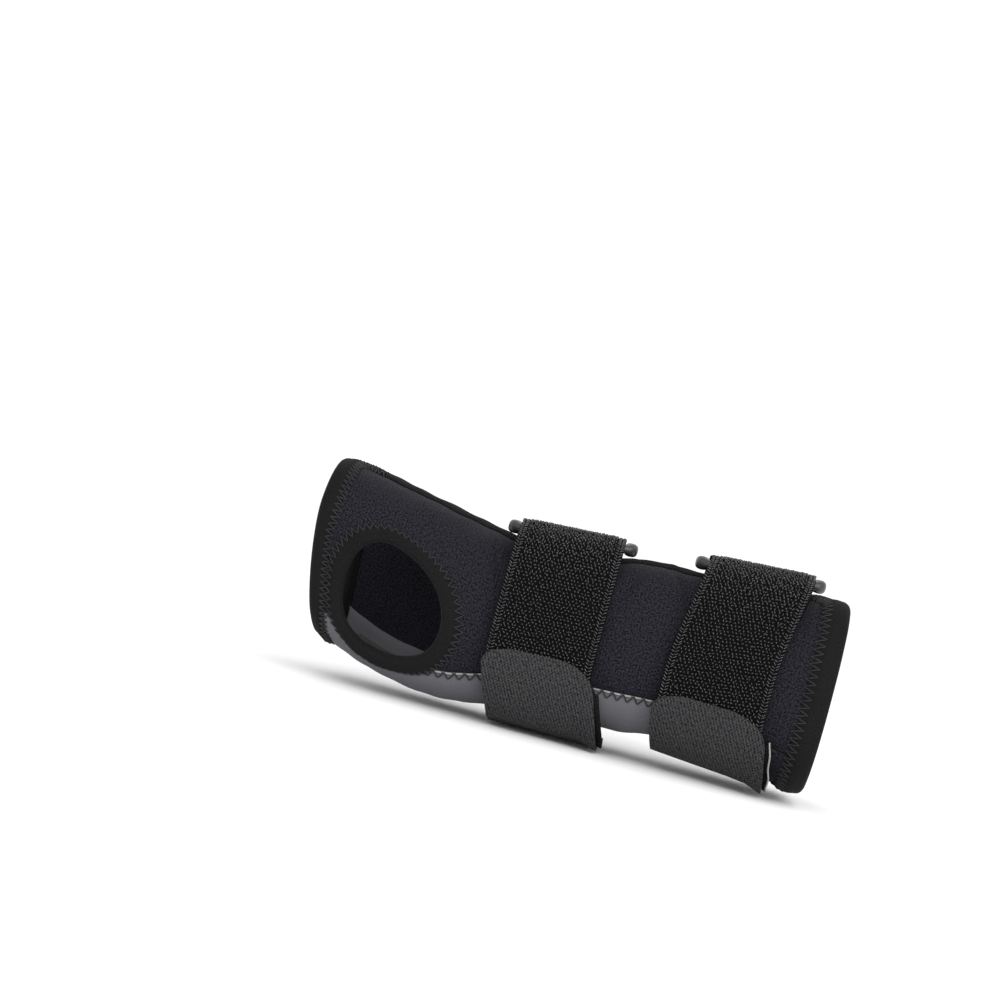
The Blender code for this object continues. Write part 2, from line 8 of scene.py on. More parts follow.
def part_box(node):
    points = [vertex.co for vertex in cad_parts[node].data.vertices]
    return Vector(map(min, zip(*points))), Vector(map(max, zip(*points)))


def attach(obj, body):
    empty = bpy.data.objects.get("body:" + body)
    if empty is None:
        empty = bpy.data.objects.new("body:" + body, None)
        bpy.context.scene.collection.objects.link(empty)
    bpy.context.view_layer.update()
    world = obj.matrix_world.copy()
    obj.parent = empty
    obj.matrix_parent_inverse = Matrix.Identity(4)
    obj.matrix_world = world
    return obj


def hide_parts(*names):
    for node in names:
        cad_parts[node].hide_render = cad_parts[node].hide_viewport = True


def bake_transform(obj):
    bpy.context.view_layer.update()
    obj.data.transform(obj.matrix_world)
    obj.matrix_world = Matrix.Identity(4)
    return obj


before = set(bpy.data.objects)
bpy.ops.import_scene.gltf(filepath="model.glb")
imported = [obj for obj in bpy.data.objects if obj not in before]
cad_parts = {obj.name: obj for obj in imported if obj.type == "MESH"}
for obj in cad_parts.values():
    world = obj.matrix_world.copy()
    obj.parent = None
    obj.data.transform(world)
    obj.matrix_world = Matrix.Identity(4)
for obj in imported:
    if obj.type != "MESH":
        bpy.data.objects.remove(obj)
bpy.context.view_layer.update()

# The worn form: stations from the front end to the rear, as in the CAD
worn = {
    "x": [-0.104, -0.093, -0.066, -0.042, -0.022, 0.004, 0.032, 0.060, 0.080, 0.100],
    "half": [0.0400, 0.0415, 0.0410, 0.0380, 0.0350, 0.0335, 0.0345, 0.0360, 0.0375, 0.0395],
    "top": [0.0785, 0.0772, 0.0722, 0.0675, 0.0641, 0.0663, 0.0692, 0.0702, 0.0719, 0.0737],
    "palm": [0.0235, 0.0180, 0.0070, 0.0034, 0.0050, 0.0070, 0.0096, 0.0096, 0.0056, 0.0042],
    "flat": 0.012,
    "square": 2.3,
    "tuck": 0.011,
    "tuckLength": 0.042,
    "tuckHalf": 0.020,
}
formGrid = {"end": 0.118, "step": 0.001, "around": 720, "turns": 121}  # how finely the form is kept
wrap = {
    "thick": 0.0030,
    "front": -0.0920,
    "rear": 0.0915,
    "setback": 0.0060,
    "reach": 0.0045,
    "web": 0.25,
    "spread": 0.12,
    "gap": 0.0170,
    "corner": 0.0110,
    "palmHalf": 0.0376,
    "narrow": 0.0020,
    "narrowX": -0.050,
    "narrowLength": 0.030,
    "palmEnd": 0.0580,
    "palmGap": 0.0003,
    "seamGap": 0.00002,
    "seamDip": 0.0007,
    "seamWidth": 0.0016,
    "edge": 0.0006,
}
thumb = {"x": -0.0665, "drop": 0.0075, "rear": 0.0250, "front": 0.0175, "girth": 0.0230}
band = {
    "width": 0.0380,
    "thick": 0.0012,
    "leaf": 0.0009,
    "lap": 0.0007,
    "over": 0.0012,
    "fit": 0.00035,
    "slack": 0.0008,
    "edge": 0.0003,
    "leafEdge": 0.00025,
}
ring = {
    "bar": 0.0032,
    "slot": 0.0095,
    "play": 0.0008,
    "corner": 0.0026,
    "near": 0.0065,
    "square": 3.5,
    "swell": 0.55,
    "swellLength": 0.0022,
    "round": 0.75,
}
ring["reach"] = ring["bar"] / 2 * 2 ** (0.5 - 1 / ring["square"])
ring["wrap"] = ring["reach"] + band["fit"]
ring["q"] = band["thick"] + ring["wrap"]
ring["far"] = ring["near"] - ring["slot"] - ring["bar"]
tabWidth = band["width"] + 2 * band["over"]
straps = {"distal": -0.0078, "proximal": 0.0610}


def smoothThrough(x, places, values):
    places, values = np.array(places), np.array(values)
    slopes = np.gradient(values, places)
    i = np.clip(np.searchsorted(places, x) - 1, 0, len(places) - 2)
    span = places[i + 1] - places[i]
    t = (x - places[i]) / span
    c = np.clip(t, 0, 1)
    inside = values[i] * (1 + 2 * c) * (1 - c) ** 2 + slopes[i] * span * c * (1 - c) ** 2
    inside += values[i + 1] * c * c * (3 - 2 * c) + slopes[i + 1] * span * c * c * (c - 1)
    before = np.where(t < 0, slopes[i] * span * t, 0)
    after = np.where(t > 1, slopes[i + 1] * span * (t - 1), 0)
    return inside + before + after


def ease(t):
    t = np.clip(t, 0, 1)
    return t * t * (3 - 2 * t)


def sleeveSize(x):
    return [smoothThrough(x, worn["x"], worn[k]) for k in ("half", "top", "palm")]


def makeForm(size, tuck):
    count = round(2 * formGrid["end"] / formGrid["step"]) + 1
    xs = np.linspace(-formGrid["end"], formGrid["end"], count)
    half, top, palm = size(xs)
    turn = np.linspace(math.pi / 2, -math.pi / 2, formGrid["turns"])
    table, girths = [], []
    for k, x in enumerate(xs):
        across = worn["flat"] + (half[k] - worn["flat"]) * np.abs(np.cos(turn)) ** (2 / worn["square"])
        rise = (top[k] - palm[k]) / 2 * np.sign(np.sin(turn)) * np.abs(np.sin(turn)) ** (2 / worn["square"])
        up = (top[k] + palm[k]) / 2 + rise
        crown = [[0, top[k]]]
        thumbSide = np.column_stack((-across, up))
        littleSide = np.column_stack((across, up))[::-1]
        pts = np.vstack((crown, thumbSide, littleSide, crown))
        girth = np.append(0, np.cumsum(np.linalg.norm(np.diff(pts, axis=0), axis=1)))
        if tuck:
            fade = ease((wrap["front"] + worn["tuckLength"] - x) / worn["tuckLength"])
            away = (girth - girth[-1] / 4 - thumb["drop"]) / worn["tuckHalf"]
            pts[:, 0] += tuck * fade * np.exp(-(away**2))
        share = np.linspace(0, girth[-1], formGrid["around"] + 1)
        even = np.column_stack([np.interp(share, girth, pts[:, c]) for c in (0, 1)])
        along = np.gradient(even, share, axis=0)
        out = np.column_stack((along[:, 1], -along[:, 0]))
        out /= np.linalg.norm(out, axis=1)[:, None]
        table.append(np.hstack((even, out)))
        girths.append(girth[-1])
    return {"xs": xs, "table": np.array(table), "girth": np.array(girths)}


def girthAt(form, x):
    return np.interp(x, form["xs"], form["girth"])


def formPoint(form, x, g, q):
    x, g, q = (np.asarray(v, float) for v in (x, g, q))
    g = np.mod(g, girthAt(form, x))
    i = np.clip((x - form["xs"][0]) / formGrid["step"], 0, form["xs"].size - 1.001)
    j = np.clip(g / girthAt(form, x) * formGrid["around"], 0, formGrid["around"] - 0.001)
    a, b = i.astype(int), j.astype(int)
    s, t = (i - a)[..., None], (j - b)[..., None]
    table = form["table"]
    low = table[a, b] * (1 - t) + table[a, b + 1] * t
    high = table[a + 1, b] * (1 - t) + table[a + 1, b + 1] * t
    row = low * (1 - s) + high * s
    out = row[..., 2:] / np.linalg.norm(row[..., 2:], axis=-1)[..., None]
    return np.stack((x, row[..., 0] + q * out[..., 0], row[..., 1] + q * out[..., 1]), axis=-1) + seat


def strapSize(centre, level):
    ends = [centre - tabWidth / 2, centre + tabWidth / 2]
    xs = np.linspace(ends[0], ends[1], 9)
    sizes = np.array(sleeveSize(xs))
    ruled = sizes[:, :1] + (sizes[:, -1:] - sizes[:, :1]) * np.linspace(0, 1, 9)
    bulge = sizes - ruled
    extra = [bulge[0].max() + band["fit"], bulge[1].max() + 2 * band["fit"] + band["slack"]]
    extra.append(bulge[2].min() - band["fit"])

    def size(x):
        t = (x - ends[0]) / tabWidth
        out = [sizes[k, 0] + t * (sizes[k, -1] - sizes[k, 0]) + extra[k] for k in range(3)]
        if level:
            out[2] = np.full_like(out[2], min(sizes[2, 0], sizes[2, -1]) + extra[2])
        return out

    return size


forms = {"sleeve": makeForm(sleeveSize, worn["tuck"])}
for name in straps:
    forms[name] = makeForm(strapSize(straps[name], name == "distal"), 0.0)
seat = np.zeros(3)  # pattern to row frame, read off the CAD strap and tab
palmLine = girthAt(forms["distal"], straps["distal"]) / 2
tabFace = band["thick"] + 2 * (band["lap"] + band["leaf"])
lowest = formPoint(forms["distal"], straps["distal"], palmLine, tabFace)
strapBox = np.array(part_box("distal_strap"))
seat = np.array((strapBox[0][0] - straps["distal"] + band["width"] / 2, strapBox[:, 1].mean(), -lowest[2]))
print("forms ready", seat.round(5), strapBox.round(4).tolist())


def palmHalf(x):
    away = (x - wrap["narrowX"]) / wrap["narrowLength"]
    return wrap["palmHalf"] - wrap["narrow"] * np.exp(-(away ** 2))


def frontEdge(share):
    web = np.exp(-(((share - wrap["web"]) / wrap["spread"]) ** 2))
    return wrap["front"] + wrap["setback"] * np.sin(np.pi * share) ** 2 - wrap["reach"] * web


def cornerCut(d, radius):
    d = np.clip(d, 0, radius)
    return radius - np.sqrt(np.maximum(radius**2 - (radius - d) ** 2, 0))


def thumbRim(turn):
    length = np.where(np.cos(turn) > 0, thumb["rear"], thumb["front"])
    x = thumb["x"] + length * np.cos(turn)
    return x, girthAt(forms["sleeve"], x) / 4 + thumb["drop"] + thumb["girth"] * np.sin(turn)


creases = {
    "press": 0.0004,
    "pressed": {"distal": (0.0, 0.024), "proximal": (0.004, 0.028)},  # shift forwards, half width
    "fade": 0.008,
    "slack": 0.0007,
    "slackX": 0.026,
    "slackLength": 0.010,
    "ripple": 0.00022,
    "fold": 0.0006,
    "foldShare": 0.13,
    "foldSpread": 0.05,
    "foldX": -0.03,
    "foldLength": 0.035,
    "pinch": 0.0011,
    "pinchWidth": 0.0016,
    "pinchLength": 0.010,
    "pinches": [
        (0.0165, 0.030, 0.35),
        (0.0365, 0.028, -0.50),
        (0.0330, 0.024, -0.45),
        (-0.0310, 0.034, -0.40),
    ],
}


def hump(x, middle, spread):
    return np.exp(-(((x - middle) / spread) ** 2))


def softLift(x, g):  # strap squeeze, slack between straps, soft creases
    squeeze = 0
    for name, (shift, half) in creases["pressed"].items():
        squeeze = squeeze + ease((half - np.abs(x - straps[name] + shift)) / creases["fade"])
    around = g / girthAt(forms["sleeve"], x)
    slack = hump(x, creases["slackX"], creases["slackLength"]) * (0.7 + 0.3 * np.sin(around * 31))
    ripple = creases["ripple"] * np.sin(x * 420 + 5 * np.sin(g * 60)) * np.sin(g * 130 + 3 * np.sin(x * 90))
    dorsal = hump(around, creases["foldShare"], creases["foldSpread"])
    dorsal = dorsal * hump(x, creases["foldX"], creases["foldLength"])
    fold = creases["fold"] * dorsal * np.sin(x * 260 + g * 170)
    pinch = np.zeros_like(x + g)
    for spotX, spotG, lean in creases["pinches"]:  # where the straps pull
        across = (x - spotX) + lean * (g - spotG)
        along = (g - spotG) / creases["pinchLength"]
        pinch += np.exp(-((across / creases["pinchWidth"]) ** 2) - along**2)
    loose = creases["slack"] * slack * (1 - squeeze)
    return -creases["press"] * squeeze + loose + ripple + fold - creases["pinch"] * pinch


# Shared shader groups
def addNode(tree, kind, **values):
    node = tree.nodes.new(kind)
    for key, value in values.items():
        setattr(node, key, value)
    return node


def clothGroup(name, rows, size, gain):
    tree = bpy.data.node_groups.new(name, "ShaderNodeTree")
    inputs = {"Dark": "NodeSocketColor", "Light": "NodeSocketColor", "Bump": "NodeSocketFloat"}
    for socket, kind in inputs.items():
        tree.interface.new_socket(socket, in_out="INPUT", socket_type=kind)
    tree.interface.new_socket("Color", in_out="OUTPUT", socket_type="NodeSocketColor")
    tree.interface.new_socket("Normal", in_out="OUTPUT", socket_type="NodeSocketVector")
    source, sink = addNode(tree, "NodeGroupInput"), addNode(tree, "NodeGroupOutput")
    coords = addNode(tree, "ShaderNodeTexCoord")
    total = None
    for spin, scale, twist, power in rows:
        turn = addNode(tree, "ShaderNodeMapping")
        turn.inputs["Rotation"].default_value[2] = math.radians(spin)
        wave = addNode(tree, "ShaderNodeTexWave", wave_profile="SIN")
        wave.inputs["Scale"].default_value = scale
        wave.inputs["Distortion"].default_value = twist
        wave.inputs["Detail"].default_value = 1.0
        wave.inputs["Detail Scale"].default_value = 3.0
        tree.links.new(coords.outputs["UV"], turn.inputs["Vector"])
        tree.links.new(turn.outputs["Vector"], wave.inputs["Vector"])
        part = addNode(tree, "ShaderNodeMath", operation="MULTIPLY")
        part.inputs[1].default_value = power
        tree.links.new(wave.outputs["Fac"], part.inputs[0])
        if total:
            both = addNode(tree, "ShaderNodeMath", operation="ADD")
            tree.links.new(total.outputs[0], both.inputs[0])
            tree.links.new(part.outputs[0], both.inputs[1])
            total = both
        else:
            total = part
    grain = addNode(tree, "ShaderNodeTexNoise")
    grain.inputs["Scale"].default_value = size
    grain.inputs["Detail"].default_value = 3.0
    tree.links.new(coords.outputs["UV"], grain.inputs["Vector"])
    mixed = addNode(tree, "ShaderNodeMath", operation="MULTIPLY_ADD")
    mixed.inputs[1].default_value = gain
    tree.links.new(grain.outputs["Fac"], mixed.inputs[0])
    tree.links.new(total.outputs[0], mixed.inputs[2])
    level = addNode(tree, "ShaderNodeMath", operation="SUBTRACT", use_clamp=True)
    level.inputs[1].default_value = gain / 2 + sum(row[3] for row in rows) / 2 - 0.5  # mean stays a half
    tree.links.new(mixed.outputs[0], level.inputs[0])
    mix = addNode(tree, "ShaderNodeMix", data_type="RGBA")
    tree.links.new(level.outputs[0], mix.inputs["Factor"])
    tree.links.new(source.outputs["Dark"], mix.inputs["A"])
    tree.links.new(source.outputs["Light"], mix.inputs["B"])
    bump = addNode(tree, "ShaderNodeBump")
    bump.inputs["Distance"].default_value = 0.0003
    tree.links.new(source.outputs["Bump"], bump.inputs["Strength"])
    tree.links.new(mixed.outputs[0], bump.inputs["Height"])
    tree.links.new(mix.outputs["Result"], sink.inputs["Color"])
    tree.links.new(bump.outputs["Normal"], sink.inputs["Normal"])
    return tree


groups = {
    "knit": clothGroup("knit", [(0, 2.8, 1.5, 0.14), (90, 4.5, 1.5, 0.10)], 15, 3.2),
    "skin": clothGroup("skin", [(20, 3.0, 8.0, 0.12), (80, 3.6, 8.0, 0.12)], 12, 0.8),
    "jersey": clothGroup("jersey", [(0, 3.2, 1.0, 0.15), (90, 3.2, 1.0, 0.15)], 15, 2.4),
    "twill": clothGroup("twill", [(45, 4.4, 0.6, 0.4), (-45, 8.0, 0.5, 0.2)], 18, 0.9),
    "dots": clothGroup("dots", [(28, 3.1, 2.5, 0.45), (-48, 3.6, 2.0, 0.28)], 12, 1.7),
}


def clothMaterial(name, group, dark, light, bump, rough, sheen):
    material = bpy.data.materials.new(name)
    material.use_nodes = True
    tree = material.node_tree
    shader = tree.nodes["Principled BSDF"]
    shader.inputs["Roughness"].default_value = rough
    shader.inputs["Sheen Weight"].default_value = sheen
    shader.inputs["Sheen Roughness"].default_value = 0.4
    shader.inputs["Specular IOR Level"].default_value = 0.06
    cloth = addNode(tree, "ShaderNodeGroup", node_tree=groups[group])
    cloth.inputs["Dark"].default_value = (*dark, 1)
    cloth.inputs["Light"].default_value = (*light, 1)
    cloth.inputs["Bump"].default_value = bump
    tree.links.new(cloth.outputs["Color"], shader.inputs["Base Color"])
    tree.links.new(cloth.outputs["Normal"], shader.inputs["Normal"])
    return material


# Weave, dark and light tone, bump, roughness, sheen
cloths = {
    "neoprene": ("knit", (0.0008, 0.0007, 0.0016), (0.0208, 0.0198, 0.0262), 0.6, 0.8, 0.02),
    "grey": ("skin", (0.074, 0.073, 0.082), (0.112, 0.110, 0.122), 0.12, 0.6, 0.03),
    "tape": ("jersey", (0.0030, 0.0030, 0.0031), (0.0098, 0.0098, 0.0102), 0.4, 0.8, 0.02),
    "pile": ("twill", (0.0008, 0.0008, 0.0010), (0.0036, 0.0036, 0.0040), 0.5, 0.9, 0.0),
    "loop": ("twill", (0.012, 0.012, 0.013), (0.110, 0.110, 0.115), 0.1, 0.45, 0.0),
    "hook": ("dots", (0.002, 0.002, 0.0025), (0.047, 0.047, 0.049), 0.9, 0.6, 0.0),
    "hookDark": ("dots", (0.004, 0.004, 0.0045), (0.010, 0.010, 0.011), 0.6, 0.8, 0.0),
    "lining": ("jersey", (0.008, 0.008, 0.009), (0.016, 0.016, 0.017), 0.3, 0.85, 0.05),
    # Thread: black, its light tone a painted highlight for the glints along the stitches
    "thread": ("twill", (0.002, 0.002, 0.0025), (0.048, 0.048, 0.050), 0.3, 0.45, 0.0),
    "pale": ("twill", (0.16, 0.16, 0.15), (0.34, 0.34, 0.32), 0.3, 0.8, 0.0),
}
looks = {name: clothMaterial(name, *values) for name, values in cloths.items()}


def hardMaterial(name, dark, light, metal, rough, scale, stretch):
    material = bpy.data.materials.new(name)
    material.use_nodes = True
    tree = material.node_tree
    shader = tree.nodes["Principled BSDF"]
    shader.inputs["Metallic"].default_value = metal
    shader.inputs["Roughness"].default_value = rough
    coords = addNode(tree, "ShaderNodeTexCoord")
    turn = addNode(tree, "ShaderNodeMapping")
    turn.inputs["Scale"].default_value = stretch
    grain = addNode(tree, "ShaderNodeTexNoise")
    grain.inputs["Scale"].default_value = scale
    grain.inputs["Detail"].default_value = 4.0
    mix = addNode(tree, "ShaderNodeMix", data_type="RGBA")
    mix.inputs["A"].default_value = (*dark, 1)
    mix.inputs["B"].default_value = (*light, 1)
    bump = addNode(tree, "ShaderNodeBump")
    bump.inputs["Strength"].default_value = 0.03
    bump.inputs["Distance"].default_value = 0.0002
    tree.links.new(coords.outputs["Object"], turn.inputs["Vector"])
    tree.links.new(turn.outputs["Vector"], grain.inputs["Vector"])
    tree.links.new(grain.outputs["Fac"], mix.inputs["Factor"])
    tree.links.new(mix.outputs["Result"], shader.inputs["Base Color"])
    tree.links.new(grain.outputs["Fac"], bump.inputs["Height"])
    tree.links.new(bump.outputs["Normal"], shader.inputs["Normal"])
    return material


# Dark and light tone, metal, roughness, grain and its stretch
hards = {
    "plastic": ((0.014, 0.014, 0.015), (0.028, 0.028, 0.030), 0.0, 0.34, 160, (1, 1, 1)),
    "metal": ((0.26, 0.26, 0.27), (0.40, 0.40, 0.41), 1.0, 0.42, 260, (0.1, 1, 1)),
}
looks.update({name: hardMaterial(name, *values) for name, values in hards.items()})
print("materials ready")


def meshArray(piece):
    flat = np.empty(len(piece.data.vertices) * 3)
    piece.data.vertices.foreach_get("co", flat)
    return flat.reshape(-1, 3)


def setArray(piece, points):
    piece.data.vertices.foreach_set("co", np.asarray(points, float).ravel())
    piece.data.update()


def makeActive(piece):
    bpy.ops.object.select_all(action="DESELECT")
    piece.select_set(True)
    bpy.context.view_layer.objects.active = piece


def refill(piece, points, faces):
    piece.data.clear_geometry()
    piece.data.from_pydata(np.reshape(points, (-1, 3)).tolist(), [], faces)


def applyAll(piece):
    makeActive(piece)
    for modifier in list(piece.modifiers):
        bpy.ops.object.modifier_apply(modifier=modifier.name)


def setUv(piece, spots):  # one spot for each point
    layer = piece.data.uv_layers.get("UVMap") or piece.data.uv_layers.new(name="UVMap")
    index = np.empty(len(piece.data.loops), int)
    piece.data.loops.foreach_get("vertex_index", index)
    layer.data.foreach_set("uv", spots[index].ravel())


def flatUv(piece):
    setUv(piece, meshArray(piece)[:, :2] * 100)


def finishPiece(piece, name, look, body, nodes=()):
    piece.name = name
    piece.data.name = name
    piece.data.materials.clear()
    piece.data.materials.append(looks[look])
    makeActive(piece)
    bpy.ops.object.mode_set(mode="EDIT")
    bpy.ops.mesh.select_all(action="SELECT")
    bpy.ops.mesh.normals_make_consistent(inside=False)
    bpy.ops.object.mode_set(mode="OBJECT")
    bpy.ops.object.shade_smooth()
    if nodes:
        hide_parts(*nodes)
    if body:
        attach(piece, body)
    return piece


def flatSheet(columns, rows, pattern):
    bpy.ops.mesh.primitive_grid_add(x_subdivisions=columns, y_subdivisions=rows, size=2)
    piece = bpy.context.object
    points = meshArray(piece)
    x, g = pattern((points[:, 0] + 1) / 2, (points[:, 1] + 1) / 2)
    setArray(piece, np.column_stack((x, g, np.zeros_like(x))))
    return piece


def thicken(piece, thick, offset, edge=0.0):
    solid = piece.modifiers.new("thick", "SOLIDIFY")
    solid.thickness = thick
    solid.offset = offset
    if edge:
        bevel = piece.modifiers.new("edge", "BEVEL")
        bevel.width = edge
        bevel.segments = 2
        bevel.limit_method = "ANGLE"
        bevel.angle_limit = math.radians(50)
    applyAll(piece)


def wrapOn(piece, form, lift):
    flatUv(piece)
    points = meshArray(piece)
    x, g, q = points.T
    setArray(piece, formPoint(forms[form], x, g, q + lift(x, g)))


def thumbCutter():
    bpy.ops.mesh.primitive_cylinder_add(vertices=120, radius=1, depth=0.04)
    cutter = bpy.context.object
    points = meshArray(cutter)
    x, g = thumbRim(np.arctan2(points[:, 1], points[:, 0]))
    setArray(cutter, np.column_stack((x, g, points[:, 2])))
    return cutter


def wrapPanel(name, look, nodes, low, high, rows, ends, cut, seams):
    sleeve = forms["sleeve"]

    def pattern(u, v):
        x = np.zeros_like(u)
        for _ in range(4):
            girth = girthAt(sleeve, x)
            g = low(x) + (high(x) - low(x)) * v
            nearest = np.minimum(g - wrap["gap"] / 2, girth - wrap["gap"] / 2 - g)
            drop = cornerCut(nearest, wrap["corner"])
            start = np.maximum(frontEdge(g / girth) + drop, ends[0])
            x = start + (np.minimum(wrap["rear"] - drop, ends[1]) - start) * u
        return x, low(x) + (high(x) - low(x)) * v

    piece = flatSheet(130 if ends[0] < 0 else 26, rows, pattern)
    thicken(piece, wrap["thick"], -1, wrap["edge"])
    if cut:
        cutter = thumbCutter()
        hole = piece.modifiers.new("hole", "BOOLEAN")
        hole.object = cutter
        hole.solver = "EXACT"
        applyAll(piece)
        bpy.data.objects.remove(cutter)

    def lift(x, g):
        near = np.minimum(*(np.abs(g - s(x)) for s in seams))
        return softLift(x, g) - wrap["seamDip"] * np.exp(-((near / wrap["seamWidth"]) ** 2))

    wrapOn(piece, "sleeve", lift)
    finishPiece(piece, name, look, "sleeve", nodes)


palmMid = lambda x: girthAt(forms["sleeve"], x) / 2
flapLow = lambda x: np.full_like(x, wrap["gap"] / 2)
flapHigh = lambda x: girthAt(forms["sleeve"], x) - wrap["gap"] / 2
seamLow = lambda x: palmMid(x) - palmHalf(x)
seamHigh = lambda x: palmMid(x) + palmHalf(x)
farOff = lambda x: x + 9  # out of reach
palmLow = lambda x: seamLow(x) + wrap["seamGap"]
palmHigh = lambda x: seamHigh(x) - wrap["seamGap"]
thumbHigh = lambda x: seamLow(x) - wrap["seamGap"]
littleLow = lambda x: seamHigh(x) + wrap["seamGap"]
whole = (-1, 1)
toPalmEnd = (-1, wrap["palmEnd"])
fromPalmEnd = (wrap["palmEnd"] + wrap["palmGap"], 1)
thumbSeam, littleSeam, bothSeams = (seamLow, farOff), (seamHigh, farOff), (seamLow, seamHigh)
wrapPanel("thumbSidePanel", "neoprene", ["radial_panel"], flapLow, thumbHigh, 64, whole, True, thumbSeam)
wrapPanel("littleSidePanel", "neoprene", ["ulnar_panel"], littleLow, flapHigh, 64, whole, False, littleSeam)
wrapPanel("palmPanel", "grey", ["palmar_panel"], palmLow, palmHigh, 48, toPalmEnd, True, bothSeams)
wrapPanel(
    "rearPalmPanel", "neoprene", ["rear_palm_panel"], palmLow, palmHigh, 48, fromPalmEnd, False, bothSeams
)
print("panels wrapped")

tapes = {
    "width": 0.0058,
    "shown": 0.0044,
    "rearWidth": 0.0068,
    "stub": 0.0020,
    "step": 0.0011,
    "bed": 0.0001,
    "wall": 0.0011,
    "dip": 0.0004,
    "dipWave": 0.00020,
    "dipPitch": 0.0031,
    "puff": 0.00045,
    "tuckIn": 0.0007,
    "pitch": 0.0024,
    "rearPitch": 0.0027,
    "thread": 0.00024,
    "over": 0.0013,
    "beside": 0.00025,
    "arch": 0.0001,
    "past": 0.0013,
    "webShare": 0.29,
}


def sameShare(x, g, other):
    return g * girthAt(forms["sleeve"], other) / girthAt(forms["sleeve"], x)


def evenPath(points, step, closed=False):
    pts = np.array(points + points[:1] if closed else points)
    length = np.append(0, np.cumsum(np.linalg.norm(np.diff(pts, axis=0), axis=1)))
    count = max(2, int(round(length[-1] / step)))
    at = np.linspace(0, length[-1], count + 1)
    even = np.column_stack([np.interp(at, length, pts[:, k]) for k in (0, 1)])
    return (even[:-1], at[:-1]) if closed else (even, at)


def pathFrame(even, closed):
    if closed:
        before, after = np.roll(even, 1, axis=0), np.roll(even, -1, axis=0)
    else:
        before = np.vstack((even[:1], even[:-1]))
        after = np.vstack((even[1:], even[-1:]))
    x = even[:, 0]
    ahead = sameShare(after[:, 0], after[:, 1], x)
    behind = sameShare(before[:, 0], before[:, 1], x)
    along = np.column_stack((after[:, 0] - before[:, 0], ahead - behind))
    along /= np.linalg.norm(along, axis=1)[:, None]
    return np.column_stack((-along[:, 1], along[:, 0]))


def onTape(even, inward, p, q):
    x = even[:, 0] + p * inward[:, 0]
    g = sameShare(even[:, 0], even[:, 1], x) + p * inward[:, 1]
    return formPoint(forms["sleeve"], x, g, q + softLift(x, g))


def tapeSwell(w, wave):  # puffed between fold and stitch row
    dip = np.exp(-(((w - 0.80) / 0.16) ** 2)) * (tapes["dip"] + tapes["dipWave"] * wave)
    puff = tapes["puff"] * np.sin(np.pi * np.minimum(w / 0.8, 1))
    return puff - dip - tapes["tuckIn"] * np.maximum(0, (w - 0.9) / 0.1)


def sweptTape(name, nodes, points, width, shares, closed=False, pitch=tapes["dipPitch"]):
    even, at = evenPath(points, tapes["step"], closed)
    inward = pathFrame(even, closed)
    share = np.interp(at, np.linspace(0, at[-1], len(shares)), shares)
    middle, inside = -wrap["thick"] / 2, wrap["thick"] / 2 + tapes["bed"]
    outside = inside + tapes["wall"]
    turns = np.linspace(math.pi / 2, 1.5 * math.pi, 11)
    ins = np.linspace(1, 0.08, 9)
    profile = [(w, outside, 1) for w in ins] + [(None, t, 1) for t in turns]
    profile += [(w, outside, -1) for w in ins[::-1]]
    profile += [(w, inside, -1) for w in (1.0, 0.5, 0.1)] + [(w, inside, 1) for w in (0.1, 0.5, 1.0)]
    rings = []
    for w, r, side in profile:
        if w is None:  # round the edge
            p = np.full(len(even), outside * math.cos(r))
            q = np.full(len(even), middle + outside * math.sin(r))
        else:
            p = w * width * share
            swell = tapeSwell(w, np.cos(at / pitch * 2 * math.pi)) if r == outside else 0
            q = middle + side * (r + swell + 0 * at)
        rings.append(onTape(even, inward, p, q))
    rings = np.array(rings)
    count, steps = rings.shape[:2]
    bpy.ops.mesh.primitive_grid_add(x_subdivisions=count, y_subdivisions=3, size=1)
    piece = bpy.context.object
    ends = steps if closed else steps - 1
    faces = []
    for s in range(ends):
        n = (s + 1) % steps
        for k in range(count):
            m = (k + 1) % count
            faces.append((k * steps + s, m * steps + s, m * steps + n, k * steps + n))
    if not closed:
        faces.append(tuple(k * steps for k in range(count)))
        faces.append(tuple(k * steps + steps - 1 for k in range(count)))
    refill(piece, rings, faces)
    number = np.arange(count * steps)
    setUv(piece, np.column_stack((at[number % steps] * 100, number // steps * 0.12)))
    if closed:
        even, inward = (np.vstack((v, v[:1])) for v in (even, inward))
        at, share = np.append(at, at[-1] + at[1]), np.append(share, share[0])
    finishPiece(piece, name, "tape", "sleeve", nodes)
    return even, inward, at, share


def threadRun(name, runs, radius, look, body="sleeve"):
    curve = bpy.data.curves.new(name, "CURVE")
    curve.dimensions = "3D"
    curve.bevel_depth = radius
    curve.bevel_resolution = 1
    curve.use_fill_caps = True
    for run in runs:
        spline = curve.splines.new("POLY")
        spline.points.add(len(run) - 1)
        spline.points.foreach_set("co", np.column_stack((run, np.ones(len(run)))).ravel())
    piece = bpy.data.objects.new(name, curve)
    bpy.context.scene.collection.objects.link(piece)
    makeActive(piece)
    bpy.ops.object.convert(target="MESH")
    return finishPiece(bpy.context.object, name, look, body)


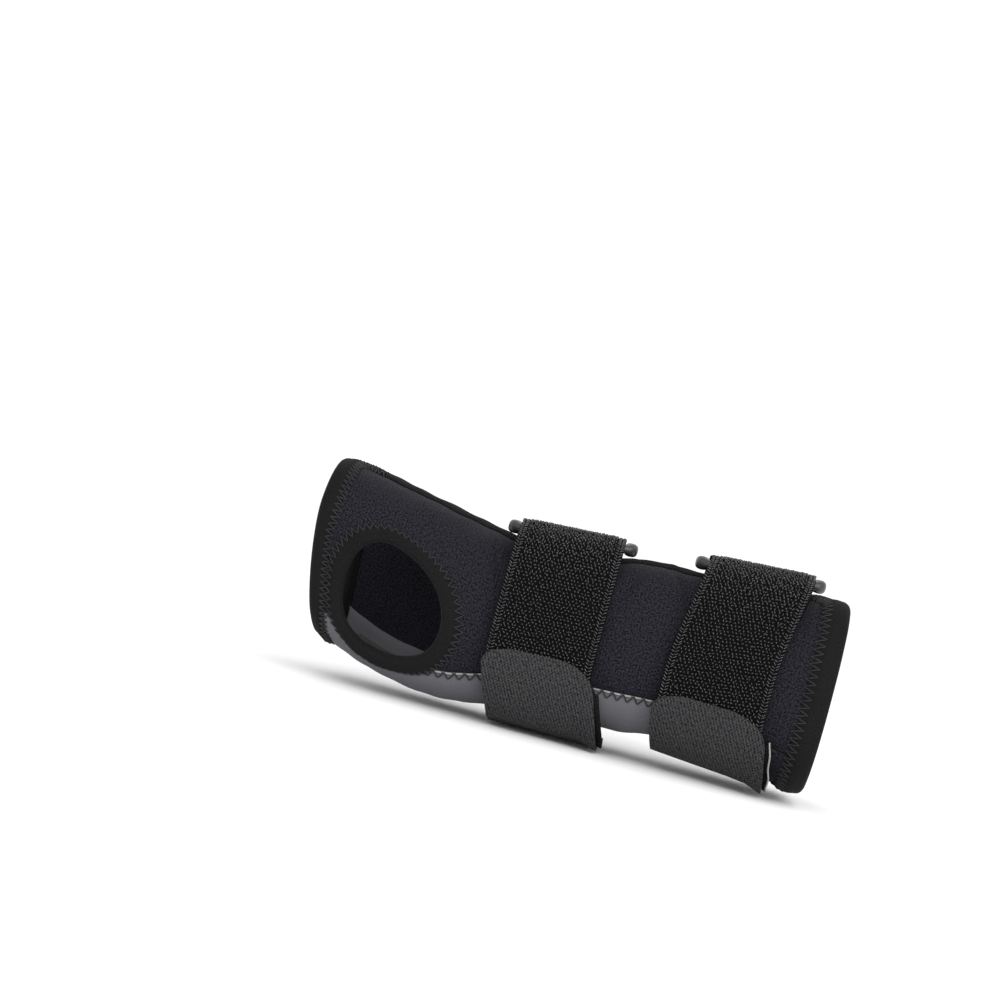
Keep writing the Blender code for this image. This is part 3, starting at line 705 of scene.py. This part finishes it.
def tapeStitch(name, tape, width, pitch, lowShare):
    even, inward, at, share = tape
    count = int(at[-1] / pitch)
    marks = np.linspace(0, at[-1], count * 8 + 1)
    pitch = (marks[-1] - marks[0]) / count
    e = np.column_stack([np.interp(marks, at, even[:, k]) for k in (0, 1)])
    n = np.column_stack([np.interp(marks, at, inward[:, k]) for k in (0, 1)])
    s = np.interp(marks, at, share)
    phase = (marks - marks[0]) / pitch % 1
    zig = np.abs(phase * 2 - 1)
    p = width * s * lowShare + zig * (width * s * (1 - lowShare) + tapes["past"] * s)
    w = p / (width * s)
    onTop = tapes["over"] + tapeSwell(w, 0.0)
    q = np.where(w < 0.97, onTop, tapes["beside"]) + tapes["arch"] * np.sin(zig * math.pi)
    return threadRun(name, [onTape(e, n, p, q)], tapes["thread"], "thread")


def flapEdge(x, side):
    return wrap["gap"] / 2 if side < 0 else float(girthAt(forms["sleeve"], x)) - wrap["gap"] / 2


def endPath(front):
    sign = 1 if front else -1
    start = float(frontEdge(0.0)) if front else wrap["rear"]
    girth = float(girthAt(forms["sleeve"], start))
    sides = []
    for side in (-1, 1):
        stub = start + sign * (wrap["corner"] + tapes["stub"])
        corner = [(stub, flapEdge(stub, side))]
        for t in np.linspace(0, math.pi / 2, 12):
            x = start + sign * wrap["corner"] * (1 - math.sin(t))
            corner.append((x, flapEdge(x, side) - side * wrap["corner"] * (1 - math.cos(t))))
        sides.append(corner if side < 0 else corner[::-1])
    middle = []
    for g in np.linspace(sides[0][-1][1], sides[1][0][1], 90)[1:-1]:
        middle.append((float(frontEdge(g / girth)) if front else wrap["rear"], g))
    points = sides[0] + middle + sides[1]
    return points[::-1] if front else points


def flapPath(side):
    start = float(frontEdge(0.0)) + wrap["corner"] + tapes["stub"] + 0.0001
    xs = np.linspace(start, wrap["rear"] - wrap["corner"] - tapes["stub"] - 0.0001, 60)
    points = [(x, flapEdge(x, side)) for x in xs]
    return points if side < 0 else points[::-1]


strip = float(thumbRim(np.array(math.pi))[0] - frontEdge(tapes["webShare"]))  # between thumb hole and front
frontPoints = endPath(True)
frontShares = []
for x, g in frontPoints:
    away = abs(g / float(girthAt(forms["sleeve"], x)) - tapes["webShare"])
    full = (strip - tapes["wall"]) / 2 / tapes["shown"]
    frontShares.append(min(1.0, full + max(0.0, (away - 0.09) / 0.06)))
rimTurns = np.linspace(0, 2 * math.pi, 121)[:-1][::-1]
rimPoints = list(zip(*(v.tolist() for v in thumbRim(rimTurns))))
rimShares = []
for turn, (x, g) in zip(rimTurns, rimPoints):
    room = x - float(frontEdge(g / float(girthAt(forms["sleeve"], x)))) - tapes["wall"]
    narrowed = 1 - 0.45 * math.sin(turn) ** 2  # narrower above and below
    rimShares.append(min(narrowed, room / 2 / tapes["shown"]))
frontTape = sweptTape("frontBinding", ["front_binding"], frontPoints, tapes["shown"], frontShares)
rearPoints = endPath(False)
rearTape = sweptTape(
    "rearBinding", ["rear_binding"], rearPoints, tapes["rearWidth"], [1.0, 1.0], pitch=tapes["rearPitch"]
)
sweptTape("thumbFlapBinding", ["radial_edge_binding"], flapPath(-1), tapes["shown"], [1.0, 1.0])
sweptTape("littleFlapBinding", ["ulnar_edge_binding"], flapPath(1), tapes["shown"], [1.0, 1.0])
rimTape = sweptTape("thumbBinding", ["thumb_binding"], rimPoints, tapes["shown"], rimShares, True)
tapeStitch("frontStitch", frontTape, tapes["shown"], tapes["pitch"], 0.52)
tapeStitch("rearStitch", rearTape, tapes["rearWidth"], tapes["rearPitch"], 0.58)
tapeStitch("thumbStitch", rimTape, tapes["shown"], tapes["pitch"], 0.60)
print("bindings and stitches swept")

seamStitch = {
    "pitch": 0.0037,
    "in": 0.0026,
    "out": 0.0004,
    "thread": 0.00027,
    "lift": 0.00025,
    "dash": 0.0023,
    "dashThread": 0.00034,
    "dashIn": 0.0001,
    "dashSink": 0.0002,
    "thumbTurn": 0.9,
    "thumbClear": 0.004,
    "littleFront": -0.076,
    "rearStop": 0.011,
    "pastPalm": 0.012,
}
for side, line in ((1, seamLow), (-1, seamHigh)):
    start = seamStitch["littleFront"]
    if side > 0:
        start = float(thumbRim(np.array(seamStitch["thumbTurn"]))[0]) + seamStitch["thumbClear"]
    marks = np.arange(start, wrap["rear"] - seamStitch["rearStop"], seamStitch["pitch"] / 8)
    zig = np.abs(marks / seamStitch["pitch"] % 1 * 2 - 1)
    g = line(marks) + side * (zig * (seamStitch["in"] + seamStitch["out"]) - seamStitch["out"])
    lift = softLift(marks, g) + seamStitch["lift"]
    zigzag = [formPoint(forms["sleeve"], marks, g, lift)]
    threadRun(f"seamStitch{side}", zigzag, seamStitch["thread"], "thread")
    dashes = []
    for mark in np.arange(start + 0.001, wrap["palmEnd"] + seamStitch["pastPalm"], seamStitch["pitch"]):
        spot = mark + np.linspace(0, seamStitch["dash"], 5)
        lift = softLift(spot, line(spot)) - seamStitch["dashSink"]
        dashes.append(formPoint(forms["sleeve"], spot, line(spot) + side * seamStitch["dashIn"], lift))
    threadRun(f"seamDashes{side}", dashes, seamStitch["dashThread"], "pale")
print("seams stitched")

stay = {
    "width": 0.0280,
    "thick": 0.0016,
    "edge": 0.0003,
    "rear": 0.0640,
    "corner": 0.0100,
    "play": 0.0005,
    "flange": 0.0028,
    "ramp": 0.0020,
    "lining": 0.0008,
    "liningEdge": 0.0002,
}
liningFront = float(frontEdge(0.5)) + tapes["width"] + 2 * band["fit"]
channel = stay["width"] / 2 + stay["play"] + stay["ramp"]


def liningPattern(u, v):
    x = liningFront + (stay["rear"] + stay["play"] - liningFront) * u
    return x, palmMid(x) + (channel + stay["flange"]) * (2 * v - 1)


def liningLift(x, g):
    fromSide = (channel - np.abs(g - palmMid(x))) / stay["ramp"]
    fromFront = (x - liningFront - stay["flange"]) / stay["ramp"]
    depth = (stay["thick"] + stay["play"]) * ease(np.minimum(fromSide, fromFront))
    return -wrap["thick"] - stay["play"] - depth + 0.3 * softLift(x, g)


lining = flatSheet(90, 48, liningPattern)
thicken(lining, stay["lining"], -1, stay["liningEdge"])
wrapOn(lining, "sleeve", liningLift)
finishPiece(lining, "stayPocket", "lining", "sleeve", ["stay_pocket"])
stayFront = liningFront + stay["flange"] + stay["ramp"] + stay["play"]


def stayPattern(u, v):
    across = stay["width"] * (v - 0.5)
    cut = cornerCut(stay["width"] / 2 - np.abs(across), stay["corner"])
    x = stayFront + cut + (stay["rear"] - stayFront - 2 * cut) * u
    return x, palmMid(x) + across


stayBar = flatSheet(120, 24, stayPattern)
thicken(stayBar, stay["thick"], -1, stay["edge"])
wrapOn(stayBar, "sleeve", lambda x, g: 0 * x - wrap["thick"] - stay["play"])
finishPiece(stayBar, "palmStay", "metal", "stay", ["palmar_stay"])
print("pocket and stay made")

tab = {
    "peek": 0.0016,
    "distal": 0.0075,
    "proximal": -0.0066,
    "turn": 0.0048,
    "length": 0.0300,
    "from": 0.0120,
    "bandLength": 0.0480,
    "front": 0.0060,
    "frontSlope": 0.46,
    "rear": 0.0085,
    "rearSlope": 0.60,
    "crowd": 0.8,
    "upper": 0.4,
    "upperLength": 0.008,
    "stem": 0.0090,
    "short": 0.0010,
    "ear": 0.0026,
    "outerEar": 0.0030,
    "earBack": 0.012,
    "earTop": 0.014,
    "earFoot": 0.013,
    "earFade": 0.008,
    "into": 0.0240,
    "step": 0.0060,
    "cutEdge": (0.0100, 0.0315),
    "cutThread": 0.00032,
    "cutWave": 0.0002,
    "cutWaves": 700,
}
tabDrop = {"distal": 0.0065, "proximal": 0.0105}
fold = {
    "tail": 0.0040,
    "settle": 0.0300,
    "tether": 0.0260,
    "tetherBack": 0.0170,
    "tetherSettle": 0.8,
    "lip": 0.0003,
    "step": 0.0012,
}
loopPile = {
    "seed": 7,
    "rowPitch": 0.00108,
    "pitch": 0.00138,
    "front": 0.0034,
    "rear": 0.0036,
    "jitterX": 0.00014,
    "jitterG": 0.00013,
    "lean": (0.7, 0.75),
    "size": (0.00020, 0.00034),
    "tall": (1.1, 2.0),
    "thread": (0.00021, 0.00018),
}
selvedge = {
    "columns": (0.0008, 0.0022),
    "jitter": 0.00010,
    "lean": (0.6, -0.5, 0.6, -0.5),
    "leanJitter": 0.10,
    "size": 0.00055,
    "tall": 0.30,
}


def loopField(form, gRange, stop, lift, name, body):
    seed = np.random.default_rng(loopPile["seed"])
    x0, x1 = straps[form] - band["width"] / 2, straps[form] + band["width"] / 2
    columns = np.array(selvedge["columns"])
    edge = np.append(x0 + columns, x1 - columns[::-1])
    xs, gs, leans, sizes, talls = [], [], [], [], []
    for row, g in enumerate(np.arange(gRange[0], gRange[1], loopPile["rowPitch"])):
        line = np.arange(x0 + loopPile["front"], x1 - loopPile["rear"], loopPile["pitch"])
        line = line + (row % 2) * loopPile["pitch"] / 2
        xs.append(line + seed.normal(0, loopPile["jitterX"], line.shape))
        gs.append(g + seed.normal(0, loopPile["jitterG"], line.shape))
        leans.append(seed.normal(*loopPile["lean"], line.shape))
        sizes.append(seed.uniform(*loopPile["size"], line.shape))
        talls.append(seed.uniform(*loopPile["tall"], line.shape))
        xs.append(edge)  # woven selvedge, flat and slanting
        gs.append(g + seed.normal(0, selvedge["jitter"], edge.shape))
        leans.append(seed.normal(selvedge["lean"], selvedge["leanJitter"]))
        sizes.append(np.full_like(edge, selvedge["size"]))
        talls.append(np.full_like(edge, selvedge["tall"]))
    x, g, lean, size, tall = (np.concatenate(v) for v in (xs, gs, leans, sizes, talls))
    keep = g < stop(x)
    x, g, lean, size, tall = (v[keep] for v in (x, g, lean, size, tall))
    x = x + tabSlide(form, g)
    sides = np.array([(0, 1), (0.87, -0.5), (-0.87, -0.5)]) * np.array(loopPile["thread"])
    local = []  # half a hoop of three-sided thread
    for t in np.linspace(0, math.pi, 5):
        for a, b in sides:
            local.append((math.cos(t), math.sin(t), a, b * math.cos(t), b * math.sin(t)))
    local = np.array(local)
    along = size[:, None] * local[None, :, 0] + local[None, :, 3]
    up = (tall * size)[:, None] * local[None, :, 1] + local[None, :, 4]
    px = x[:, None] + along * np.cos(lean)[:, None] - local[None, :, 2] * np.sin(lean)[:, None]
    pg = g[:, None] + along * np.sin(lean)[:, None] + local[None, :, 2] * np.cos(lean)[:, None]
    points = formPoint(forms[form], px, pg, up + lift(px, pg))
    quads = []
    for s in range(0, 12, 3):
        for k in range(3):
            n = (k + 1) % 3
            quads.append((s + k, s + n, s + 3 + n, s + 3 + k))
    base = np.arange(len(x))[:, None, None] * len(local)
    faces = (base + np.array(quads)[None]).reshape(-1, 4)
    bpy.ops.mesh.primitive_plane_add(size=0.01)
    piece = bpy.context.object
    refill(piece, points, faces.tolist())
    setUv(piece, np.column_stack((px.ravel() * 100, pg.ravel() * 100)))
    return finishPiece(piece, name, "loop", body)


def hoopPiece(form, name, body, nodes):
    centre, half = straps[form], band["width"] / 2 + ring["play"] + ring["bar"] / 2
    bend = ring["corner"] + ring["bar"] / 2
    across = (ring["near"] - ring["far"]) / 2
    outline = []
    for cx, cg, start in ((1, 1, 0), (-1, 1, 90), (-1, -1, 180), (1, -1, 270)):
        for t in np.radians(start + np.linspace(0, 90, 9)):
            outX = cx * (half - bend) + bend * math.cos(t)
            outline.append((outX, cg * (across - bend) + bend * math.sin(t)))
    outline = np.array(outline + outline[:1])
    length = np.append(0, np.cumsum(np.linalg.norm(np.diff(outline, axis=0), axis=1)))
    at = np.linspace(0, length[-1], 161)[:-1]
    px = centre + np.interp(at, length, outline[:, 0])
    pg = (ring["near"] + ring["far"]) / 2 + np.interp(at, length, outline[:, 1])
    line = formPoint(forms[form], px, pg, ring["q"])
    normal = formPoint(forms[form], px, pg, ring["q"] + 0.001) - line
    normal /= np.linalg.norm(normal, axis=1)[:, None]
    along = np.roll(line, -1, axis=0) - np.roll(line, 1, axis=0)
    side = np.cross(along, normal)
    side /= np.linalg.norm(side, axis=1)[:, None]
    atEnd = ease((np.abs(px - centre) - half + ring["swellLength"]) / ring["swellLength"])
    thick = ring["bar"] / 2 * (1 + ring["swell"] * atEnd)
    rings = []
    for t in np.linspace(0, 2 * math.pi, 21)[:-1]:
        a = math.copysign(abs(math.cos(t)) ** ring["round"], math.cos(t))
        b = math.copysign(abs(math.sin(t)) ** ring["round"], math.sin(t))
        rings.append(line + (side * a + normal * b) * thick[:, None])
    count, steps = len(rings), len(line)
    faces = []
    for k in range(count):
        m = (k + 1) % count
        for n in range(steps):
            w = (n + 1) % steps
            faces.append((k * steps + n, k * steps + w, m * steps + w, m * steps + n))
    bpy.ops.mesh.primitive_torus_add(major_segments=8, minor_segments=4)
    piece = bpy.context.object
    piece.matrix_world = Matrix.Identity(4)
    refill(piece, rings, faces)
    return finishPiece(piece, name, "plastic", body, nodes)


def hairpin(form, centre, way, barG, lower, upper, settle, name, nodes, body):
    wrapR, thick = ring["wrap"], band["thick"]
    path = [(a, thick / 2) for a in np.linspace(lower, 0, int(lower / fold["step"]) + 1)]
    for t in np.linspace(-math.pi / 2, math.pi / 2, 25)[1:-1]:  # round the bar
        path.append((-(wrapR + thick / 2) * math.cos(t), ring["q"] + (wrapR + thick / 2) * math.sin(t)))
    for a in np.linspace(0, upper, max(2, int(upper / fold["step"]))):
        drop = (1 - ease(a / settle)) if settle else 1.0
        path.append((a, thick + band["fit"] + (2 * wrapR - band["fit"]) * drop + thick / 2))
    path = np.array(path)
    along = np.gradient(path, axis=0)
    along /= np.linalg.norm(along, axis=1)[:, None]
    side = np.column_stack((-along[:, 1], along[:, 0]))
    length = np.append(0, np.cumsum(np.linalg.norm(np.diff(path, axis=0), axis=1)))
    bpy.ops.mesh.primitive_grid_add(x_subdivisions=30, y_subdivisions=len(path) - 1, size=2)
    piece = bpy.context.object
    points = meshArray(piece)
    u, v = (points[:, 0] + 1) / 2, (points[:, 1] + 1) / 2 * length[-1]
    setArray(piece, np.column_stack((centre + (u - 0.5) * band["width"], v, np.zeros_like(u))))
    thicken(piece, thick, 0, band["edge"])
    flatUv(piece)
    x, v, h = meshArray(piece).T
    a, q, na, nq = (np.interp(v, length, values) for values in (*path.T, *side.T))
    setArray(piece, formPoint(forms[form], x, barG + way * (a + h * na), q + h * nq))
    return finishPiece(piece, name, "pile", body, nodes)


def strapRun(form, first, last, lift, name, body, nodes, columns):
    def pattern(u, v):
        x = straps[form] + (v - 0.5) * band["width"]
        g = first(x) + (last(x) - first(x)) * u
        return x + tabSlide(form, g), g

    piece = flatSheet(columns, 26, pattern)
    thicken(piece, band["thick"], 1, band["edge"])
    wrapOn(piece, form, lift)
    return finishPiece(piece, name, "pile", body, nodes)


def tabSlide(form, g):
    girth = girthAt(forms[form], straps[form])
    onTab = ease((g - girth / 4 - tabDrop[form]) / tab["length"])
    slide = tab["distal"] * onTab
    if form == "proximal":
        slide = tab["proximal"] * ease((g - tab["from"]) / tab["bandLength"]) + tab["turn"] * onTab
    return slide * (1 - ease((g - girth / 2 - tab["stem"]) / tab["length"]))


def earRise(form, x, g):  # the lower rear corner stands off
    quarterGirth = girthAt(forms[form], x) / 4
    rearward = ease((x - tabSlide(form, g) - straps[form] - tab["earBack"]) / tab["earBack"])
    below = ease((g - quarterGirth - tab["earTop"]) / tab["earTop"])
    return rearward * below * ease((2 * quarterGirth - tab["earFoot"] - g) / tab["earFade"])


def tabLeaf(form, shorter, lift, ear, name, look, body, nodes, rearOut=0.0):
    centre, size = straps[form], forms[form]

    def pattern(u, v):
        side = 2 * v - 1
        spread = np.sign(side) * np.abs(side) ** tab["crowd"]  # columns crowd at the sides
        x = centre + spread * tabWidth / 2 + rearOut * np.maximum(side, 0)
        frontDrop = cornerCut((x - centre + tabWidth / 2) * tab["frontSlope"], tab["front"])
        rearDrop = cornerCut((centre + tabWidth / 2 - x) * tab["rearSlope"], tab["rear"])
        top = girthAt(size, x) / 4 + tabDrop[form] + (frontDrop + rearDrop) + shorter
        end = girthAt(size, x) / 2 + tab["stem"]
        level = girthAt(size, x) / 4 + tabDrop[form] + tab["rear"] + shorter + tab["upperLength"]
        upperG = top + (level - top) * u / tab["upper"]
        lowerG = level + (end - level) * (u - tab["upper"]) / (1 - tab["upper"])
        g = np.where(u < tab["upper"], upperG, lowerG)
        return x + tabSlide(form, g), g

    piece = flatSheet(60, 44, pattern)
    thicken(piece, band["leaf"], 1, band["leafEdge"])
    wrapOn(piece, form, lambda x, g: lift(x, g) + ear * earRise(form, x, g))
    return finishPiece(piece, name, look, body, nodes)


underRun = {
    "lead": 0.030,
    "gap": 0.0001,
    "clear": 0.0006,
    "clearLength": 0.003,
    "sewn": 0.006,
    "loopFrom": 0.001,
    "loopPast": 0.014,
    "loopStop": 0.0010,
}
freeEnd = {"bend": 0.020, "loopFrom": 0.0003, "loopPast": 0.014}
sewn = {
    "front": 0.0172,
    "rear": 0.0160,
    "pitch": 0.0030,
    "dash": 0.0022,
    "strapRows": (0.0008, 0.0040),
    "tetherRows": (0.0128, 0.0156),
    "lift": 0.0001,
    "thread": 0.00024,
}


def makeStrap(form, centre):
    size = forms[form]
    body, ringBody = f"{form}_strap_end", f"{form}_ring_body"
    middle = float(girthAt(size, centre))
    foldEnd = ring["near"] + fold["tail"]
    lead = ring["near"] + underRun["lead"]
    sideLift = 2 * band["lap"] + band["leaf"]
    ringLift = 2 * ring["wrap"]

    def quarter(x):
        return girthAt(size, x) / 4

    def spot(g, q):
        return Vector(formPoint(size, centre, g, q))

    def level(g):
        return lambda x: np.full_like(x, g)

    def runLift(x, g):  # clear of the wrap where it slides
        return underRun["clear"] * ease((centre - band["width"] / 2 - x) / underRun["clearLength"])

    def returnLift(x, g):
        over = (ringLift - sideLift) * (1 - ease((g - foldEnd) / fold["settle"]))
        return band["thick"] + sideLift + over

    def lapLift(x, g):
        past = g - quarter(x) - tabDrop[form] - tab["into"] - band["fit"]
        return band["thick"] + sideLift + (band["thick"] + band["lap"]) * (1 - ease(past / tab["step"]))

    def innerLift(x, g):
        return 0 * x + band["thick"] + band["lap"]

    def runEnd(x):
        return quarter(x) * 3 + underRun["sewn"]

    def returnEnd(x):
        return quarter(x) + tabDrop[form] + tab["into"]

    strapRun(form, level(lead), runEnd, runLift, f"{form}Strap", "sleeve", [f"{form}_strap"], 140)
    leadStart = level(ring["near"] + underRun["gap"])
    leadPiece = strapRun(form, leadStart, level(lead), runLift, f"{form}StrapLead", None, [], 26)
    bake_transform(leadPiece)
    loopField(
        form,
        (middle / 2 + tab["stem"] + underRun["loopFrom"], middle * 0.75 + underRun["loopPast"]),
        lambda x: quarter(x) * 3 - underRun["loopStop"],
        lambda x, g: runLift(x, g) + band["thick"],
        f"{form}StrapLoops",
        "sleeve",
    )
    nodes = [f"{form}_strap_return"]
    back = strapRun(form, level(ring["near"]), returnEnd, returnLift, f"{form}Return", None, nodes, 80)
    loops = loopField(
        form,
        (ring["near"] + freeEnd["loopFrom"], middle / 4 + tabDrop[form] + freeEnd["loopPast"]),
        farOff,
        lambda x, g: returnLift(x, g) + band["thick"],
        f"{form}ReturnLoops",
        None,
    )
    for piece in (back, loops):
        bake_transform(piece)
    outer, inner = [f"{form}_tab_outer"], [f"{form}_tab_inner"]
    tabLeaf(form, 0.0, lapLift, tab["outerEar"], f"{form}TabOuter", "hook", body, outer)
    tabLeaf(
        form, tab["short"], innerLift, tab["ear"], f"{form}TabInner", "hookDark", body, inner, tab["peek"]
    )
    if form == "proximal":  # pale cut edge of the inner leaf
        marks = middle / 4 + tabDrop[form] + np.linspace(*tab["cutEdge"], 22)
        wave = tab["cutWave"] * np.sin(marks * tab["cutWaves"])
        edge = centre + tabWidth / 2 + tab["peek"] + tabSlide(form, marks) + wave
        rise = band["thick"] + band["lap"] + band["leaf"] / 2 + tab["ear"] * earRise(form, edge, marks)
        threadRun("proximalCutEdge", [formPoint(size, edge, marks, rise)], tab["cutThread"], "pale", body)
    nodes = [f"{form}_strap_fold"]
    hairpin(form, centre, 1, ring["near"], 0.0, fold["lip"], 0.0, f"{form}Fold", nodes, ringBody)
    reach, settle = fold["tetherBack"], fold["tetherBack"] * fold["tetherSettle"]
    nodes = [f"{form}_ring_tether"]
    hairpin(form, centre, -1, ring["far"], fold["tether"], reach, settle, f"{form}Tether", nodes, "sleeve")
    hoopPiece(form, f"{form}Hoop", ringBody, [f"{form}_ring"])
    dashes = []
    for start in np.arange(centre - sewn["front"], centre + sewn["rear"], sewn["pitch"]):
        x = start + np.linspace(0, sewn["dash"], 4)
        for away in sewn["strapRows"]:
            dashes.append(formPoint(size, x, quarter(x) * 3 + away, 0 * x + band["thick"] + sewn["lift"]))
        onTether = 0 * x + 2 * band["thick"] + band["fit"] + sewn["lift"]
        for away in sewn["tetherRows"]:
            dashes.append(formPoint(size, x, ring["far"] - away + 0 * x, onTether))
    threadRun(f"{form}SewnRows", dashes, sewn["thread"], "thread")
    print("strap", form, "made")


for form, centre in straps.items():
    makeStrap(form, centre)

# Floor, light and camera
bpy.ops.mesh.primitive_plane_add(size=60, location=(0, 0, -0.0002))
floor = bpy.context.object
floor.name = "floor"
paper = bpy.data.materials.new("paper")
paper.use_nodes = True
paper.node_tree.nodes["Principled BSDF"].inputs["Base Color"].default_value = (0.96, 0.96, 0.96, 1)
paper.node_tree.nodes["Principled BSDF"].inputs["Roughness"].default_value = 0.9
floor.data.materials.append(paper)
world = bpy.data.worlds.new("studio")
bpy.context.scene.world = world
world.use_nodes = True
world.node_tree.nodes["Background"].inputs["Color"].default_value = (1, 1, 1, 1)
world.node_tree.nodes["Background"].inputs["Strength"].default_value = 1.1


def softLight(name, place, aim, size, power):
    light = bpy.data.lights.new(name, "AREA")
    light.size = size
    light.energy = power
    lamp = bpy.data.objects.new(name, light)
    lamp.location = place
    lamp.rotation_euler = (Vector(aim) - Vector(place)).to_track_quat("-Z", "Y").to_euler()
    bpy.context.scene.collection.objects.link(lamp)


softLight("key", (-0.05, -1.10, 0.36), (0, 0, 0.04), 0.8, 8.5)
softLight("fill", (0.75, -0.85, 0.35), (0, 0, 0.04), 0.8, 6.0)
softLight("rim", (0.1, 0.7, 0.8), (0, 0, 0.04), 0.6, 0.4)

shot = {
    "aim": (-0.0363, -0.0380, 0.0792),
    "roll": 15.0,
    "azimuth": 3.0,
    "away": 0.95,
    "across": 0.3465,
}
roll = math.radians(shot["roll"])
right = Vector((math.cos(roll), 0, math.sin(roll)))
above = Vector((-math.sin(roll), 0, math.cos(roll)))
basis = Matrix((right, above, right.cross(above))).transposed()
basis = Matrix.Rotation(math.radians(shot["azimuth"]), 3, "Z") @ basis
eye = Vector(shot["aim"]) + basis.col[2] * shot["away"]
lens = bpy.data.cameras.new("camera")
lens.lens = 36 * shot["away"] / shot["across"]
lens.clip_start = 0.05
camera = bpy.data.objects.new("camera", lens)
camera.matrix_world = Matrix.Translation(eye) @ basis.to_4x4()
bpy.context.scene.collection.objects.link(camera)
bpy.context.scene.camera = camera
bpy.context.scene.view_settings.view_transform = "Standard"

print("scene ready")
